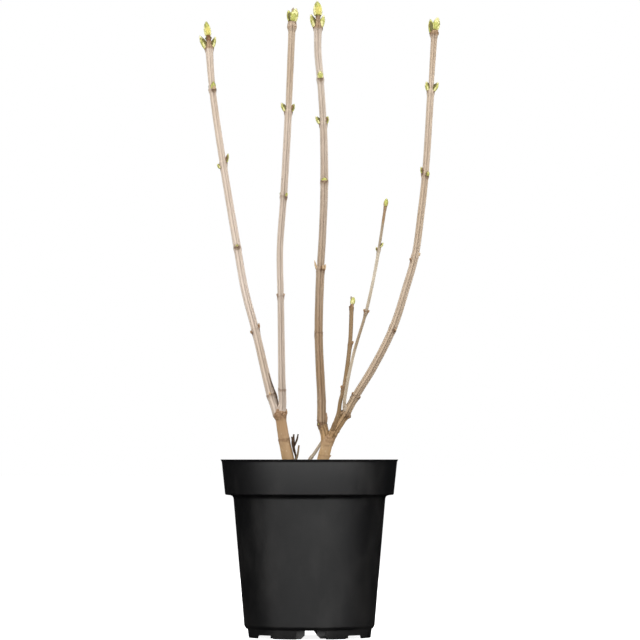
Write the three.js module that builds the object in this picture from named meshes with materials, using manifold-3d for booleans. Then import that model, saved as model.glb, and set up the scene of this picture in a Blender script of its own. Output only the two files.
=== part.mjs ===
// A young lilac in bud, bare of leaves, in a black nursery pot.
// Two stems fork into four tall shoots and two thin twigs. Millimetres, +Z up.
import * as THREE from "three";
import { mergeVertices } from "three/addons/utils/BufferGeometryUtils.js";
import Module from "manifold-3d";

const wasm = await Module();
wasm.setup();

// ---------------------------------------------------------------- driving sizes

const FIT = 0.3; // gap kept between neighbouring solids
const POT_AXIS_X = -10; // the pot stands left of the middle of the whole plant
const POT_TURN = THREE.MathUtils.degToRad(1.85); // the foot's channels, off square

const POT = {
  height: 189.5,
  wall: 1.3,
  foot: { radius: 66.6, height: 9.5, topRadius: 67.9 },
  body: { bottom: 12.5, bottomRadius: 69.7, top: 151.7, topRadius: 81.5 },
  collar: { bottom: 152.7, bottomRadius: 90.2, top: 188, topRadius: 94 },
  lip: { radius: 95, bottom: 188.5 },
};

// Raised channels under the floor let water out, and open through the foot.
const CHANNEL = { height: 9.4, topWidth: 12.4, kneeHeight: 4, kneeWidth: 13, footWidth: 21 };
const WIDE_NOTCH = { width: 31.5, height: 9.4, depth: 12 };
const SMALL_NOTCH = { width: 19, height: 3.6, depth: 14 };
const DRAIN = { diameter: 8, fromAxis: 45 };

const SOIL = { crown: 168, edge: 166, flatRadius: 48 };

const LIMB_SIDES = 8;
const TWIG_SIDES = 7;
const RING_STEP = 36; // longest stretch of a limb between two rings
const KNUCKLE_REACH = 4; // how far a joint's swelling runs up and down the wood
const TIP_LENGTH = 13; // wood that a bud cluster keeps below its joint

// A limb is a row of joints, base first. What stands in the soil is drawn a little
// too long, and is cut flat at the soil. Each joint has its place from the pot's
// axis on the ground, then three girths: the wood below it, the joint, the wood above.
const joint = (x, y, z, below, knuckle, above) => ({
  at: new THREE.Vector3(x, y, z), below, knuckle, above,
});

// A bud springs from a joint (by number), towards a side in degrees:
// 0 right, 90 back, 180 left, 270 front. lean is its angle out from the wood.
const bud = (at, side, length, width, lean) => ({ at, side, length, width, lean });
const SMALL_BUD = { length: 3.2, width: 2.8, lean: 20 };
const smallPair = (at, side) => [side, side + 180].map(
  (turn) => bud(at, turn, SMALL_BUD.length, SMALL_BUD.width, SMALL_BUD.lean));

const STEMS = {
  left_stem: {
    joints: [
      joint(-17, 8.2, 163, 19.5, 19.5, 18.5),
      joint(-18.5, 7.8, 170, 16.6, 16.6, 16),
      joint(-20.4, 7.2, 178.5, 14.6, 14.6, 14.3),
      joint(-23.6, 6.2, 193.5, 13.3, 13.3, 13),
      joint(-27.2, 5.2, 211, 12.1, 12.9, 12.1),
      joint(-31.2, 4.2, 236.5, 11.2, 13.8, 12),
      joint(-31.8, 4.1, 242.5, 10.5, 9, 8),
    ],
    buds: [bud(5, 180, 3.6, 4, 34), bud(5, 0, 7, 4, 16)],
  },
  right_stem: {
    joints: [
      joint(8.8, -2.7, 163, 18.4, 18.4, 17.4),
      joint(10.2, -3.1, 170, 15.6, 15.6, 15),
      joint(12.2, -3.8, 178.5, 13.7, 13.7, 13.3),
      joint(15.5, -4.8, 193.5, 12.7, 12.9, 12.4),
      joint(18.2, -5.6, 204, 12.2, 12.2, 12.2),
      joint(20.4, -6, 212.5, 12.3, 12.2, 10.5),
      joint(21, -6, 216, 9.6, 8.5, 8),
    ],
    buds: [bud(3, 20, 3.2, 2.8, 55)],
  },
};

const SHOOTS = {
  shoot_far_left: {
    clear: ["left_stem"],
    joints: [
      joint(-32.2, 4.2, 236, 8, 8, 8.6),
      joint(-35.6, 4.9, 246, 9.4, 9.4, 9.4),
      joint(-42.1, 7, 258.3, 9.4, 10.8, 9.9),
      joint(-58.2, 17, 328.5, 8.9, 9.9, 8.9),
      joint(-69.5, 23.5, 371, 8.4, 8.4, 8.4),
      joint(-78, 30, 418, 8.2, 9.2, 8.4),
      joint(-93.7, 42, 510, 7.9, 9.6, 7.6),
      joint(-105.6, 52, 591.5, 7.3, 9.8, 7),
      joint(-109.3, 57, 637, 8.4, 10.4, 8),
      joint(-109.6, 57.6, 644.5, 6.6, 6.4, 6.2),
    ],
    buds: [
      ...smallPair(2, 270),
      bud(3, 180, 4.4, 3.4, 36),
      bud(3, 0, 7.6, 3, 18),
      ...smallPair(5, 270),
      bud(6, 180, 6.5, 4.4, 34),
      bud(6, 0, 11.5, 3.6, 22),
      bud(7, 285, 8, 4.8, 24),
      bud(7, 105, 8, 4.6, 26),
      bud(8, 180, 17.5, 5.8, 27),
      bud(8, 0, 14, 4.2, 20),
    ],
    tip: bud(9, 188, 24, 8.4, 6),
  },
  shoot_mid_left: {
    clear: ["left_stem", "shoot_far_left"],
    joints: [
      joint(-30.9, 3.6, 236, 7.6, 7.6, 8),
      joint(-28.9, 1.4, 249.4, 8.6, 8.6, 8.6),
      joint(-29.3, -1.5, 264.5, 8.7, 9.3, 8.6),
      joint(-30.7, -15, 364, 7.3, 8.3, 7.1),
      joint(-31.4, -22, 413.5, 7, 7, 7),
      joint(-27.4, -30, 469.5, 7.2, 8.7, 7.7),
      joint(-22.3, -42, 559, 7.8, 9.6, 6.8),
      joint(-18.4, -51.5, 649.5, 7.2, 10.4, 9.6),
      joint(-18.2, -52, 654, 9.2, 8.6, 7),
    ],
    buds: [
      ...smallPair(3, 0),
      bud(5, 280, 6, 4, 26),
      bud(5, 100, 6, 4, 28),
      bud(6, 180, 11, 4.6, 32),
      bud(6, 0, 9.5, 4, 20),
      bud(8, 176, 12.5, 5.6, 14),
      bud(8, 352, 15, 8, 13),
    ],
    tip: bud(8, 90, 14, 2.8, 1),
  },
  shoot_mid_right: {
    clear: ["right_stem"],
    joints: [
      joint(20, -6, 209, 6, 6, 6.6),
      joint(16.6, -6.6, 218, 8, 8, 8),
      joint(13.4, -7, 227.5, 8.6, 10.8, 9.7),
      joint(12.9, -4, 253.5, 9.6, 9.9, 9.5),
      joint(9.9, 4, 324, 9, 9.6, 9),
      joint(11.8, 12, 393, 9.3, 10.2, 8.1),
      joint(14.1, 17, 433, 8.1, 8.1, 8.1),
      joint(15.9, 24, 489, 8.6, 9.4, 8.8),
      joint(14.8, 33, 552, 8, 9.4, 7.6),
      joint(11.6, 40, 601.5, 7.3, 9.2, 7.7),
      joint(9, 43.5, 631, 8, 8, 8),
      joint(9, 47, 658, 8.6, 10.6, 8.6),
      joint(9.2, 48, 671, 4.8, 5.2, 5.2),
    ],
    buds: [
      bud(2, 355, 11, 3.4, 14),
      bud(5, 180, 11.5, 3, 20),
      bud(5, 300, 5.4, 4, 30),
      bud(7, 275, 6.4, 5, 26),
      bud(7, 95, 6.4, 5, 26),
      bud(8, 180, 11, 4.6, 32),
      bud(8, 0, 9.5, 4, 18),
      bud(9, 275, 8.5, 5.4, 22),
      bud(9, 95, 8.5, 5.4, 22),
      bud(11, 180, 16.5, 5.4, 20),
      bud(11, 0, 15, 4.4, 14),
    ],
    tip: bud(12, 186, 19.4, 10, 4),
  },
  shoot_far_right: {
    clear: ["right_stem", "shoot_mid_right"],
    joints: [
      joint(21.4, -6, 210, 7, 7, 7.4),
      joint(26.9, -8, 218.3, 8.2, 9.6, 8),
      joint(39.2, -10, 237.7, 7.8, 11.2, 8.8),
      joint(49.2, -11.5, 256.8, 8.6, 9.8, 8.6),
      joint(68.2, -14, 287.8, 8.6, 8.6, 8.6),
      joint(89.3, -17, 330, 8.4, 9.2, 8.6),
      joint(103.4, -20, 373.5, 8.3, 8.3, 8.3),
      joint(113.2, -22, 406.5, 7.9, 9.2, 7.8),
      joint(119.7, -24, 452.5, 7.7, 7.7, 7.7),
      joint(124.1, -26, 498, 7.4, 9.6, 7.3),
      joint(129.4, -28, 582, 7.6, 8.8, 5.6),
      joint(133.4, -30, 643.5, 6.8, 9.8, 8.6),
      joint(133.7, -30, 647, 8, 7.6, 7),
    ],
    buds: [
      ...smallPair(3, 0),
      ...smallPair(5, 270),
      ...smallPair(7, 0),
      bud(9, 200, 7.5, 3.6, 20),
      bud(9, 300, 5.4, 4.6, 32),
      bud(10, 180, 11, 5, 20),
      bud(10, 0, 12, 5, 30),
      bud(11, 178, 16, 5.8, 9),
    ],
    tip: bud(12, 2, 15, 7.4, 12),
  },
  long_twig: {
    clear: ["shoot_far_right"],
    joints: [
      joint(39.5, -11, 238, 3, 3, 3),
      joint(37.4, -15.2, 246.5, 4, 4, 3.6),
      joint(39.5, -20, 265.2, 3.4, 3.4, 3.4),
      joint(47.3, -28, 302.4, 3.3, 3.3, 3.3),
      joint(60.2, -38, 346, 3.2, 4.6, 3.1),
      joint(69.1, -47, 386.1, 3, 3, 3),
      joint(73.7, -52, 412.5, 3.4, 4.4, 2.9),
      joint(80.4, -59.8, 455.5, 3, 3.8, 3.2),
    ],
    buds: [
      bud(4, 0, 3.6, 3, 40),
      bud(4, 180, 3.6, 3, 40),
      bud(6, 0, 7, 4, 32),
      bud(6, 180, 6, 3.4, 34),
    ],
    tip: bud(7, 0, 11.5, 4.8, 1),
  },
  short_twig: {
    clear: ["shoot_far_right", "shoot_mid_right", "right_stem"],
    joints: [
      joint(25.8, -9.5, 217.8, 3, 3, 3),
      joint(25.6, -13.8, 225.5, 5.6, 5.6, 5.4),
      joint(31.2, -13, 238.6, 5, 5, 4.8),
      joint(33, -12.4, 251.5, 4.6, 4.6, 4.6),
      joint(36.6, -9, 265, 4.8, 6, 4.7),
      joint(43.4, 3, 313, 4.8, 6, 4.7),
      joint(45.4, 14, 353.5, 4.9, 5.4, 4.8),
      joint(45.9, 15, 357.6, 4.4, 4.2, 4),
    ],
    buds: [
      bud(4, 180, 4, 3, 32),
      bud(5, 0, 4.6, 3.2, 28),
      bud(6, 195, 11, 2.2, 8),
    ],
    tip: bud(7, 0, 8, 4.3, 4),
  },
};

// Small dead wood at the foot of the stems: the stalk first, then its prongs.
const DEAD_WOOD = {
  dead_spur: {
    clear: ["left_stem"],
    limbs: [
      [[-19, 5, 181, 1.8], [-14.7, 4.4, 191, 2], [-16.8, 3, 201, 2.6], [-17.5, 2, 208.5, 3.2],
        [-16.7, 1.2, 216.4, 1.6]],
      [[-17, 2.8, 203, 2], [-13.6, 1, 210, 1.8], [-12.1, 0.4, 216.6, 1.5]],
      [[-17.4, 2, 206.5, 2], [-19.2, 0.8, 213.8, 1.2]],
    ],
  },
  stub_twig: {
    clear: ["left_stem", "dead_spur"],
    limbs: [[[-18, 1.8, 181, 1.6], [-13.2, 0.4, 192.4, 1.6], [-11.4, -0.6, 204.6, 1.3]]],
  },
  loose_twig: {
    clear: ["right_stem"],
    limbs: [[[-10.4, 13.6, 163, 3], [-4.6, 12, 181, 2.8], [0.6, 10.6, 191.2, 3.4],
      [2.4, 10.2, 194, 2.6], [15.2, 6.4, 213.6, 2.4]]],
  },
};

// ---------------------------------------------------------------- solids

/** A closed geometry as a solid: shared corners merged, empty triangles dropped. */
function solidOf(geometry) {
  geometry.deleteAttribute("normal");
  geometry.deleteAttribute("uv");
  const merged = mergeVertices(geometry, 1e-4);
  const corners = merged.index.array;
  const kept = [];
  for (let i = 0; i < corners.length; i += 3) {
    const [a, b, c] = corners.slice(i, i + 3);
    if (a !== b && b !== c && c !== a) kept.push(a, b, c);
  }
  return new wasm.Manifold(new wasm.Mesh({
    numProp: 3,
    vertProperties: new Float32Array(merged.attributes.position.array),
    triVerts: new Uint32Array(kept),
  }));
}

function geometryOf(solid) {
  const mesh = solid.getMesh();
  const geometry = new THREE.BufferGeometry();
  geometry.setAttribute("position", new THREE.BufferAttribute(mesh.vertProperties, 3));
  geometry.setIndex(new THREE.BufferAttribute(mesh.triVerts, 1));
  geometry.computeVertexNormals();
  return geometry;
}

const joined = (solids) => solids.reduce((whole, next) => whole.add(next));
const without = (solid, cutters) => cutters.reduce((rest, cutter) => rest.subtract(cutter), solid);

/** A profile of [radius, height] turned about +Z. */
function turned(profile, sides) {
  const points = profile.map(([radius, height]) => new THREE.Vector2(radius, height));
  return new THREE.LatheGeometry(points, sides).rotateX(Math.PI / 2);
}

/** A box from its width along X, depth along Y and its lowest and highest Z. */
function block(width, depth, low, high) {
  return new THREE.BoxGeometry(width, depth, high - low).translate(0, 0, (low + high) / 2);
}

// ---------------------------------------------------------------- pot and soil

const POT_SIDES = 48;
const BELOW = -2; // cuts start below the ground, so that no skin is left
const ABOVE = POT.height + 5;

function potOutside() {
  const { foot, body, collar, lip, height } = POT;
  return solidOf(turned([
    [0, 0], [foot.radius, 0], [foot.topRadius, foot.height], [body.bottomRadius, body.bottom],
    [body.topRadius, body.top], [collar.bottomRadius, collar.bottom],
    [collar.topRadius, collar.top], [lip.radius, lip.bottom], [lip.radius, height], [0, height],
  ], POT_SIDES));
}

/** The room inside the wall, drawn in by a further gap for what fills it. */
function potInside(gap) {
  const { foot, body, collar } = POT;
  const skin = POT.wall + gap;
  return solidOf(turned([
    [0, skin], [foot.radius - skin, skin], [foot.topRadius - skin, foot.height],
    [body.bottomRadius - skin, body.bottom + skin], [body.topRadius - skin, body.top + skin],
    [collar.bottomRadius - skin, collar.bottom + skin], [collar.topRadius - skin, ABOVE],
    [0, ABOVE],
  ], POT_SIDES));
}

/** The channels and notches under the floor, grown by a skin on every side. */
function footChannels(skin) {
  const { height, topWidth, kneeHeight, kneeWidth, footWidth } = CHANNEL;
  const section = new THREE.Shape([
    [-footWidth / 2 - skin, BELOW], [footWidth / 2 + skin, BELOW], [footWidth / 2 + skin, 0],
    [kneeWidth / 2 + skin, kneeHeight], [topWidth / 2 + skin, height + skin],
    [-topWidth / 2 - skin, height + skin], [-kneeWidth / 2 - skin, kneeHeight],
    [-footWidth / 2 - skin, 0],
  ].map(([x, y]) => new THREE.Vector2(x, y)));
  const span = 2 * POT.body.bottomRadius;
  const across = new THREE.ExtrudeGeometry(section, { depth: span, bevelEnabled: false })
    .translate(0, 0, -span / 2).rotateX(Math.PI / 2);
  const cuts = [across, across.clone().rotateZ(Math.PI / 2)];
  for (let quarter = 0; quarter < 4; quarter += 1) {
    const turn = quarter * Math.PI / 2;
    for (const [notch, offset] of [[WIDE_NOTCH, 0], [SMALL_NOTCH, Math.PI / 4]]) {
      const inner = POT.foot.radius - notch.depth - skin;
      const depth = POT.body.bottomRadius + 1 - inner;
      cuts.push(block(notch.width + 2 * skin, depth, BELOW, notch.height + skin)
        .translate(0, inner + depth / 2, 0).rotateZ(turn + offset));
    }
  }
  return joined(cuts.map((cut) => solidOf(cut.rotateZ(POT_TURN))));
}

function drainHoles() {
  const holes = [];
  for (let quarter = 0; quarter < 4; quarter += 1) {
    holes.push(solidOf(new THREE.CylinderGeometry(DRAIN.diameter / 2, DRAIN.diameter / 2, 8, 16)
      .rotateX(Math.PI / 2).translate(DRAIN.fromAxis, 0, CHANNEL.height)
      .rotateZ(POT_TURN + quarter * Math.PI / 2)));
  }
  return joined(holes);
}

function potSolid() {
  const room = potInside(0).subtract(footChannels(POT.wall));
  return potOutside().subtract(footChannels(0)).subtract(room).subtract(drainHoles());
}

function soilSolid() {
  const top = solidOf(turned([
    [0, BELOW], [POT.lip.radius, BELOW], [POT.lip.radius, SOIL.edge],
    [SOIL.flatRadius, SOIL.crown], [0, SOIL.crown],
  ], POT_SIDES));
  return potInside(FIT).intersect(top).subtract(footChannels(POT.wall + FIT));
}

// ---------------------------------------------------------------- wood

/** A limb's curve through its joints, with the way along it to each joint. */
class Path {
  constructor(points) {
    const fine = 30;
    this.curve = new THREE.CatmullRomCurve3(points, false, "centripetal");
    this.curve.arcLengthDivisions = fine * (points.length - 1);
    const lengths = this.curve.getLengths();
    this.stops = points.map((_, index) => lengths[index * fine]);
    this.length = lengths[lengths.length - 1];
  }

  /** Place, heading and the two directions across it: right-hand and to the back. */
  frameAt(distance) {
    const along = THREE.MathUtils.clamp(distance / this.length, 0, 1);
    const place = this.curve.getPointAt(along);
    const heading = this.curve.getTangentAt(along);
    place.addScaledVector(heading, distance - along * this.length);
    const right = new THREE.Vector3(1, 0, 0).addScaledVector(heading, -heading.x).normalize();
    const back = new THREE.Vector3().crossVectors(heading, right);
    return { place, heading, right, back };
  }
}

/** A rod turned on the lathe as [distance, girth] rings, then bent along a path. */
function bentRod(path, rings, sides) {
  const first = rings[0][0];
  const last = rings[rings.length - 1][0];
  const profile = [[0, first], ...rings.map(([distance, girth]) => [girth / 2, distance]), [0, last]];
  const geometry = turned(profile, sides);
  const corners = geometry.attributes.position;
  for (let i = 0; i < corners.count; i += 1) {
    const { place, right, back } = path.frameAt(corners.getZ(i));
    place.addScaledVector(right, corners.getX(i)).addScaledVector(back, corners.getY(i));
    corners.setXYZ(i, place.x, place.y, place.z);
  }
  return solidOf(geometry);
}

/** The rings of a limb from its joints: a swelling at each, even wood between. */
function limbRings(path, joints) {
  const rings = [[0, joints[0].knuckle]];
  for (let i = 1; i < joints.length; i += 1) {
    const reach = Math.min(KNUCKLE_REACH, (path.stops[i] - path.stops[i - 1]) / 2.5);
    const start = path.stops[i - 1] + (i > 1 ? reach : 1);
    const end = path.stops[i] - reach;
    const steps = Math.max(1, Math.ceil((end - start) / RING_STEP));
    for (let step = 0; step <= steps; step += 1) {
      const part = step / steps;
      rings.push([
        THREE.MathUtils.lerp(start, end, part),
        THREE.MathUtils.lerp(joints[i - 1].above, joints[i].below, part),
      ]);
    }
    rings.push([path.stops[i], joints[i].knuckle]);
  }
  return rings;
}

/** The rings between two distances, with a ring of the right girth at each end. */
function ringsBetween(rings, from, to) {
  const girthAt = (distance) => {
    const after = rings.findIndex(([place]) => place >= distance);
    if (after <= 0) return rings[after === 0 ? 0 : rings.length - 1][1];
    const [low, high] = [rings[after - 1], rings[after]];
    return THREE.MathUtils.mapLinear(distance, low[0], high[0], low[1], high[1]);
  };
  const inside = rings.filter(([place]) => place > from + 0.2 && place < to - 0.2);
  return [[from, girthAt(from)], ...inside, [to, girthAt(to)]];
}

const BUD_PROFILE = [[0.62, 0], [0.9, 0.15], [1, 0.38], [0.9, 0.6], [0.52, 0.83], [0.14, 0.98]];

/** A pointed bud: its root sunk in the wood, its tip leaning out from it. */
function budSolid(path, joints, { at, side, length, width, lean }, sides, grow = 0) {
  const { place, heading, right, back } = path.frameAt(path.stops[at]);
  const turn = THREE.MathUtils.degToRad(side);
  const tilt = THREE.MathUtils.degToRad(lean);
  const outward = right.clone().multiplyScalar(Math.cos(turn)).addScaledVector(back, Math.sin(turn));
  const aim = heading.clone().multiplyScalar(Math.cos(tilt)).addScaledVector(outward, Math.sin(tilt));
  const seat = Math.max(joints[at].knuckle / 2 - width * 0.45, 0);
  const offAxis = lean > 8 ? seat : 0;
  const profile = [
    [0, -grow],
    ...BUD_PROFILE.map(([girth, part]) => [girth * width / 2 + grow, part * length]),
    [0, length + grow],
  ];
  const geometry = turned(profile, sides);
  geometry.applyQuaternion(new THREE.Quaternion()
    .setFromUnitVectors(new THREE.Vector3(0, 0, 1), aim.normalize()));
  place.addScaledVector(outward, offAxis);
  return solidOf(geometry.translate(place.x, place.y, place.z));
}

/** One limb from one distance along it to another, with its buds in that stretch. */
function woodSolid(limb, from, to, sides, grow = 0) {
  const path = new Path(limb.joints.map((each) => each.at));
  const rings = ringsBetween(limbRings(path, limb.joints), from, to)
    .map(([distance, girth]) => [distance, girth + 2 * grow]);
  rings[0][0] -= grow;
  rings[rings.length - 1][0] += grow;
  const budsHere = [...limb.buds, ...(limb.tip ? [limb.tip] : [])]
    .filter(({ at }) => path.stops[at] >= from && path.stops[at] <= to);
  return joined([
    bentRod(path, rings, sides),
    ...budsHere.map((each) => budSolid(path, limb.joints, each, each.length > 12 ? 7 : 5, grow)),
  ]);
}

/** How far a shoot runs before its bud cluster, and its whole length. */
function shootSplit(limb) {
  const path = new Path(limb.joints.map((each) => each.at));
  const cluster = path.stops[Math.min(...[...limb.buds, limb.tip]
    .map(({ at }) => at).filter((at) => at >= limb.joints.length - 2))];
  return { split: cluster - TIP_LENGTH, length: path.length };
}

const cutAtSoil = (solid) => solid.subtract(
  solidOf(block(2 * POT.lip.radius, 2 * POT.lip.radius, 0, SOIL.crown + FIT)));

function deadWoodSolid(limbs, grow = 0) {
  return joined(limbs.map((points) => {
    const path = new Path(points.map(([x, y, z]) => new THREE.Vector3(x, y, z)));
    const rings = points.map((point, index) => [path.stops[index], point[3] + 2 * grow]);
    rings[rings.length - 1][0] += grow;
    return bentRod(path, rings, TWIG_SIDES);
  }));
}

// ---------------------------------------------------------------- the plant

const PLASTIC = new THREE.MeshStandardMaterial({ color: 0x232324, roughness: 0.55, metalness: 0 });
const EARTH = new THREE.MeshStandardMaterial({ color: 0x3a2a1f, roughness: 1, metalness: 0 });
const STEM_BARK = new THREE.MeshStandardMaterial({ color: 0xb0905f, roughness: 0.8, metalness: 0 });
const SHOOT_BARK = new THREE.MeshStandardMaterial({ color: 0xb6a083, roughness: 0.75, metalness: 0 });
const BROWN_BARK = new THREE.MeshStandardMaterial({ color: 0x967a5c, roughness: 0.75, metalness: 0 });
const TWIG_BARK = new THREE.MeshStandardMaterial({ color: 0xc0aa80, roughness: 0.75, metalness: 0 });
const BUD_GREEN = new THREE.MeshStandardMaterial({ color: 0x9b9a4e, roughness: 0.6, metalness: 0 });
const DEAD_BARK = new THREE.MeshStandardMaterial({ color: 0x4b3d33, roughness: 0.9, metalness: 0 });

const SHOOT_FINISH = { shoot_mid_right: BROWN_BARK, short_twig: BROWN_BARK, long_twig: TWIG_BARK };
const DEAD_FINISH = { dead_spur: DEAD_BARK, stub_twig: TWIG_BARK, loose_twig: TWIG_BARK };

const plant = new THREE.Group();
plant.position.x = POT_AXIS_X;

function place(name, solid, material) {
  const mesh = new THREE.Mesh(geometryOf(solid), material);
  mesh.name = name;
  plant.add(mesh);
}

place("pot", potSolid(), PLASTIC);
place("potting_soil", soilSolid(), EARTH);

const grown = {}; // each limb made larger by FIT, to cut its neighbours clear of it
for (const [name, limb] of Object.entries(STEMS)) {
  const { length } = new Path(limb.joints.map((each) => each.at));
  place(name, cutAtSoil(woodSolid(limb, 0, length, LIMB_SIDES)), STEM_BARK);
  grown[name] = woodSolid(limb, 0, length, LIMB_SIDES, FIT);
}

for (const [name, limb] of Object.entries(SHOOTS)) {
  const sides = name.endsWith("twig") ? TWIG_SIDES : LIMB_SIDES;
  const { split, length } = shootSplit(limb);
  const cutters = limb.clear.map((other) => grown[other]);
  place(name, without(woodSolid(limb, 0, split, sides), cutters), SHOOT_FINISH[name] ?? SHOOT_BARK);
  grown[name] = woodSolid(limb, 0, split, sides, FIT);
  place(`${name.replace(/^shoot_/, "")}_buds`, woodSolid(limb, split + FIT, length, sides), BUD_GREEN);
}

for (const [name, { clear, limbs }] of Object.entries(DEAD_WOOD)) {
  const cutters = clear.map((other) => grown[other]);
  place(name, cutAtSoil(without(deadWoodSolid(limbs), cutters)), DEAD_FINISH[name]);
  grown[name] = deadWoodSolid(limbs, FIT);
}

export default plant;
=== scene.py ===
import math
import random
from collections import namedtuple

import bmesh
import bpy
import numpy as np
from mathutils import Matrix, Vector, noise


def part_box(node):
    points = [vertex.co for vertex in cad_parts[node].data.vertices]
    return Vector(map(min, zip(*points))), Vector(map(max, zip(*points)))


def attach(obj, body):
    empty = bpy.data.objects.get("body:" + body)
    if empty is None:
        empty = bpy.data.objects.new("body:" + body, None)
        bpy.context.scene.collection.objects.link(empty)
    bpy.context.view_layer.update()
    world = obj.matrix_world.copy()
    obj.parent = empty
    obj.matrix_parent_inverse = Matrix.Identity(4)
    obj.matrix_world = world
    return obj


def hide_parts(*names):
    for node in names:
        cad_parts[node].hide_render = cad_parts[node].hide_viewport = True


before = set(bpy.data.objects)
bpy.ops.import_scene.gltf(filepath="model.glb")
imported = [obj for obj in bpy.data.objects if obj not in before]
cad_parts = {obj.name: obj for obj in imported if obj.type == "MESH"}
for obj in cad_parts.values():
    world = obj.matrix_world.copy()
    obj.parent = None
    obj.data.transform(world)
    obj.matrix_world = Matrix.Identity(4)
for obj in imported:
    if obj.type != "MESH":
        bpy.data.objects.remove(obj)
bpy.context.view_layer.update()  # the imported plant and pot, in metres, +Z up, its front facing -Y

bl_info = {
    "name": "Potted Lilac in Bud",
    "version": (1, 0, 0),
    "blender": (4, 5, 0),
    "location": "View3D > Sidebar > Lilac",
    "description": "Builds a young lilac, bare of leaves and in bud, in a black nursery pot",
    "category": "Add Mesh",
}

# ------------------------------------------------------------------ driving sizes

QUARTER = math.pi / 2
HALF = math.pi
FULL = 2 * math.pi

POT_LOW, POT_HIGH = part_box("pot")
_, SOIL_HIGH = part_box("potting_soil")
POT_AXIS = Vector(((POT_LOW.x + POT_HIGH.x) / 2, (POT_LOW.y + POT_HIGH.y) / 2, 0))
POT_HEIGHT = POT_HIGH.z
LIP_RADIUS = (POT_HIGH.x - POT_LOW.x) / 2
SOIL_LEVEL = SOIL_HIGH.z

# The pot, in metres.
POT_WALL = 0.0013
POT_TURN = math.radians(1.85)  # the foot's channels, off square
FOOT = {"radius": 0.0666, "height": 0.0095, "top_radius": 0.0679}
BODY = {"bottom": 0.0125, "bottom_radius": 0.0697, "top": 0.1509, "top_radius": 0.0815}
COLLAR = {"bottom": 0.1519, "bottom_radius": 0.0902, "top": 0.1868, "top_radius": 0.0938}
LIP = {"bottom": 0.1893, "width": 0.0016}
CHANNEL = {"height": 0.0094, "top_width": 0.0124, "knee_height": 0.004, "knee_width": 0.013,
           "foot_width": 0.021}
WIDE_NOTCH = {"width": 0.0315, "height": 0.0094, "depth": 0.012}
SMALL_NOTCH = {"width": 0.019, "height": 0.0036, "depth": 0.014}
GROOVE = {"width": 0.0131, "height": 0.0034, "from_axis": 0.0477}
DRAIN = {"radius": 0.004, "from_axis": 0.045, "depth": 0.008, "segments": 40}
CUT_BELOW = -0.002  # where the cutters under the floor start
SOFT_EDGE = {"width": 0.00022, "sharper_than": math.radians(50), "crease": math.radians(38)}

# The wood at a joint: a knuckle swells below it and stops short above it, and under each
# bud a leaf cushion runs down, with the scar of last year's leaf on it. Lengths are in
# metres, and spreads, how far round the limb a thing reaches, in radians.
KNUCKLE = {"below": 0.0065, "above": 0.003, "swollen": 0.0003, "bud_spread": 0.75, "flatter": 0.45}
CUSHION = {"run": 0.011, "ledge": 0.0009, "spread": 0.6, "least": 0.0002, "most": 0.0005, "share": 0.05}
LEAF_SCAR = {"below": 0.0017, "height": 0.0012, "spread": 0.38, "depth": 0.0002, "paleness": 0.5}
LEDGE = {"below": 0.0055, "above": 0.0008, "narrow": 0.35, "widens": 0.8}
# AXIL: the hollow above a bud. dark is how much shade is painted in it, and brown is a brown that is
# partly the bark's own and partly painted shade.
AXIL = {"depth": 0.0004, "least": 0.003, "share": 0.9, "dark": 0.85, "brown": 0.8}
TRAIL = {"from": 0.0025, "depth": 0.00012, "narrow": 0.15, "widens": 0.3, "narrows_by": 0.005,
         "faint": 0.3, "fades_by": 0.02, "ends_over": 0.03, "whole_length": 0.006}
SIDE_SHARE = 0.35  # how much of its strength a mark keeps under a bud at the limb's side
NODE_REACH = (-0.07, 0.022)  # how far below and above itself a joint marks the bark
LINE = {"above": 0.0004, "width": 0.0008, "depth": 0.00018, "brown_above": -0.0006, "brown_width": 0.0017}
LINE_WAVES = ((0.0005, 2, 900), (0.0002, 5, 700))  # as (height, waves round the limb, phase)
# KNOT: how far a knotty joint's brown and lumps reach, and how the creases between its lumps are found,
# where shade is painted.
KNOT = {"run": 0.0055, "reach": 0.012, "brown": 0.6, "crease": 3.2, "crease_from": 0.25}

# The bark between the joints. Its unevenness is noise, as (fineness round the limb,
# fineness along it, depth), where the wobble and the ridges are parts of the girth.
SQUARENESS = 0.006
# The band of painted shade down the front and back of a limb: its spread round the limb, its strength, how
# much that varies, and how finely it varies along the limb.
SHADE_BAND = {"spread": 0.85, "strength": 0.75, "varies": 0.6, "fineness": 14}
WOBBLE, RIDGES = (0.9, 55, 0.009), (330, 90, 0.0013)
LUMPS, FINE_LUMPS = (330, 420, 0.0014), (800, 900, 0.0004)
AGED = {"edge": 0.0015, "hides_bands": 0.7}  # how sharply the oldest bark ends
WARM = {"share": 0.12, "height": 0.4, "run": 0.08}  # the lower bark is a little browner
BROWN_NECK = {"span": 0.0165, "lead": 0.003, "run": 0.0035, "aged": 0.8, "spread": 1.2,
              "brown": 0.1, "brown_flanks": 0.7, "dark_flanks": 0.85}  # the wood under an end bud
FILLET = {"width": 0.004, "dark": 140}  # the bark fills the corner where two limbs meet, and dark paints shade into that corner
MEETING = {"step": 0.002, "reach": 0.03, "fills_within": 0.02, "beside": 0.004}
CLOSER = {"below": 0.006, "above": 0.0035, "spacing": 0.45}  # the rings of a limb, at its joints

Joint = namedtuple("Joint", "at below knuckle above")
Bud = namedtuple("Bud", "at side length width lean kind slide")
Node = namedtuple("Node", "stop knuckle buds knotty ringed")

GREEN, PALE, OLIVE, YELLOW, BROWN = "green", "pale", "olive", "yellow", "brown"
KNOB, SPUR, STUB = "knob", "spur", "stub"


def metres(millimetres):
    """A length or height from the tables, in metres."""
    return round(millimetres / 1000, 7)


def joint(x, y, z, *girths):
    """A joint of a limb: its place from the pot's axis on the ground, and its girths below
    it, at its knuckle and above it."""
    below, knuckle, above = (metres(girth) for girth in (girths if len(girths) > 1 else girths * 3))
    return Joint(Vector((metres(x), metres(y), metres(z))), below, knuckle, above)


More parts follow.
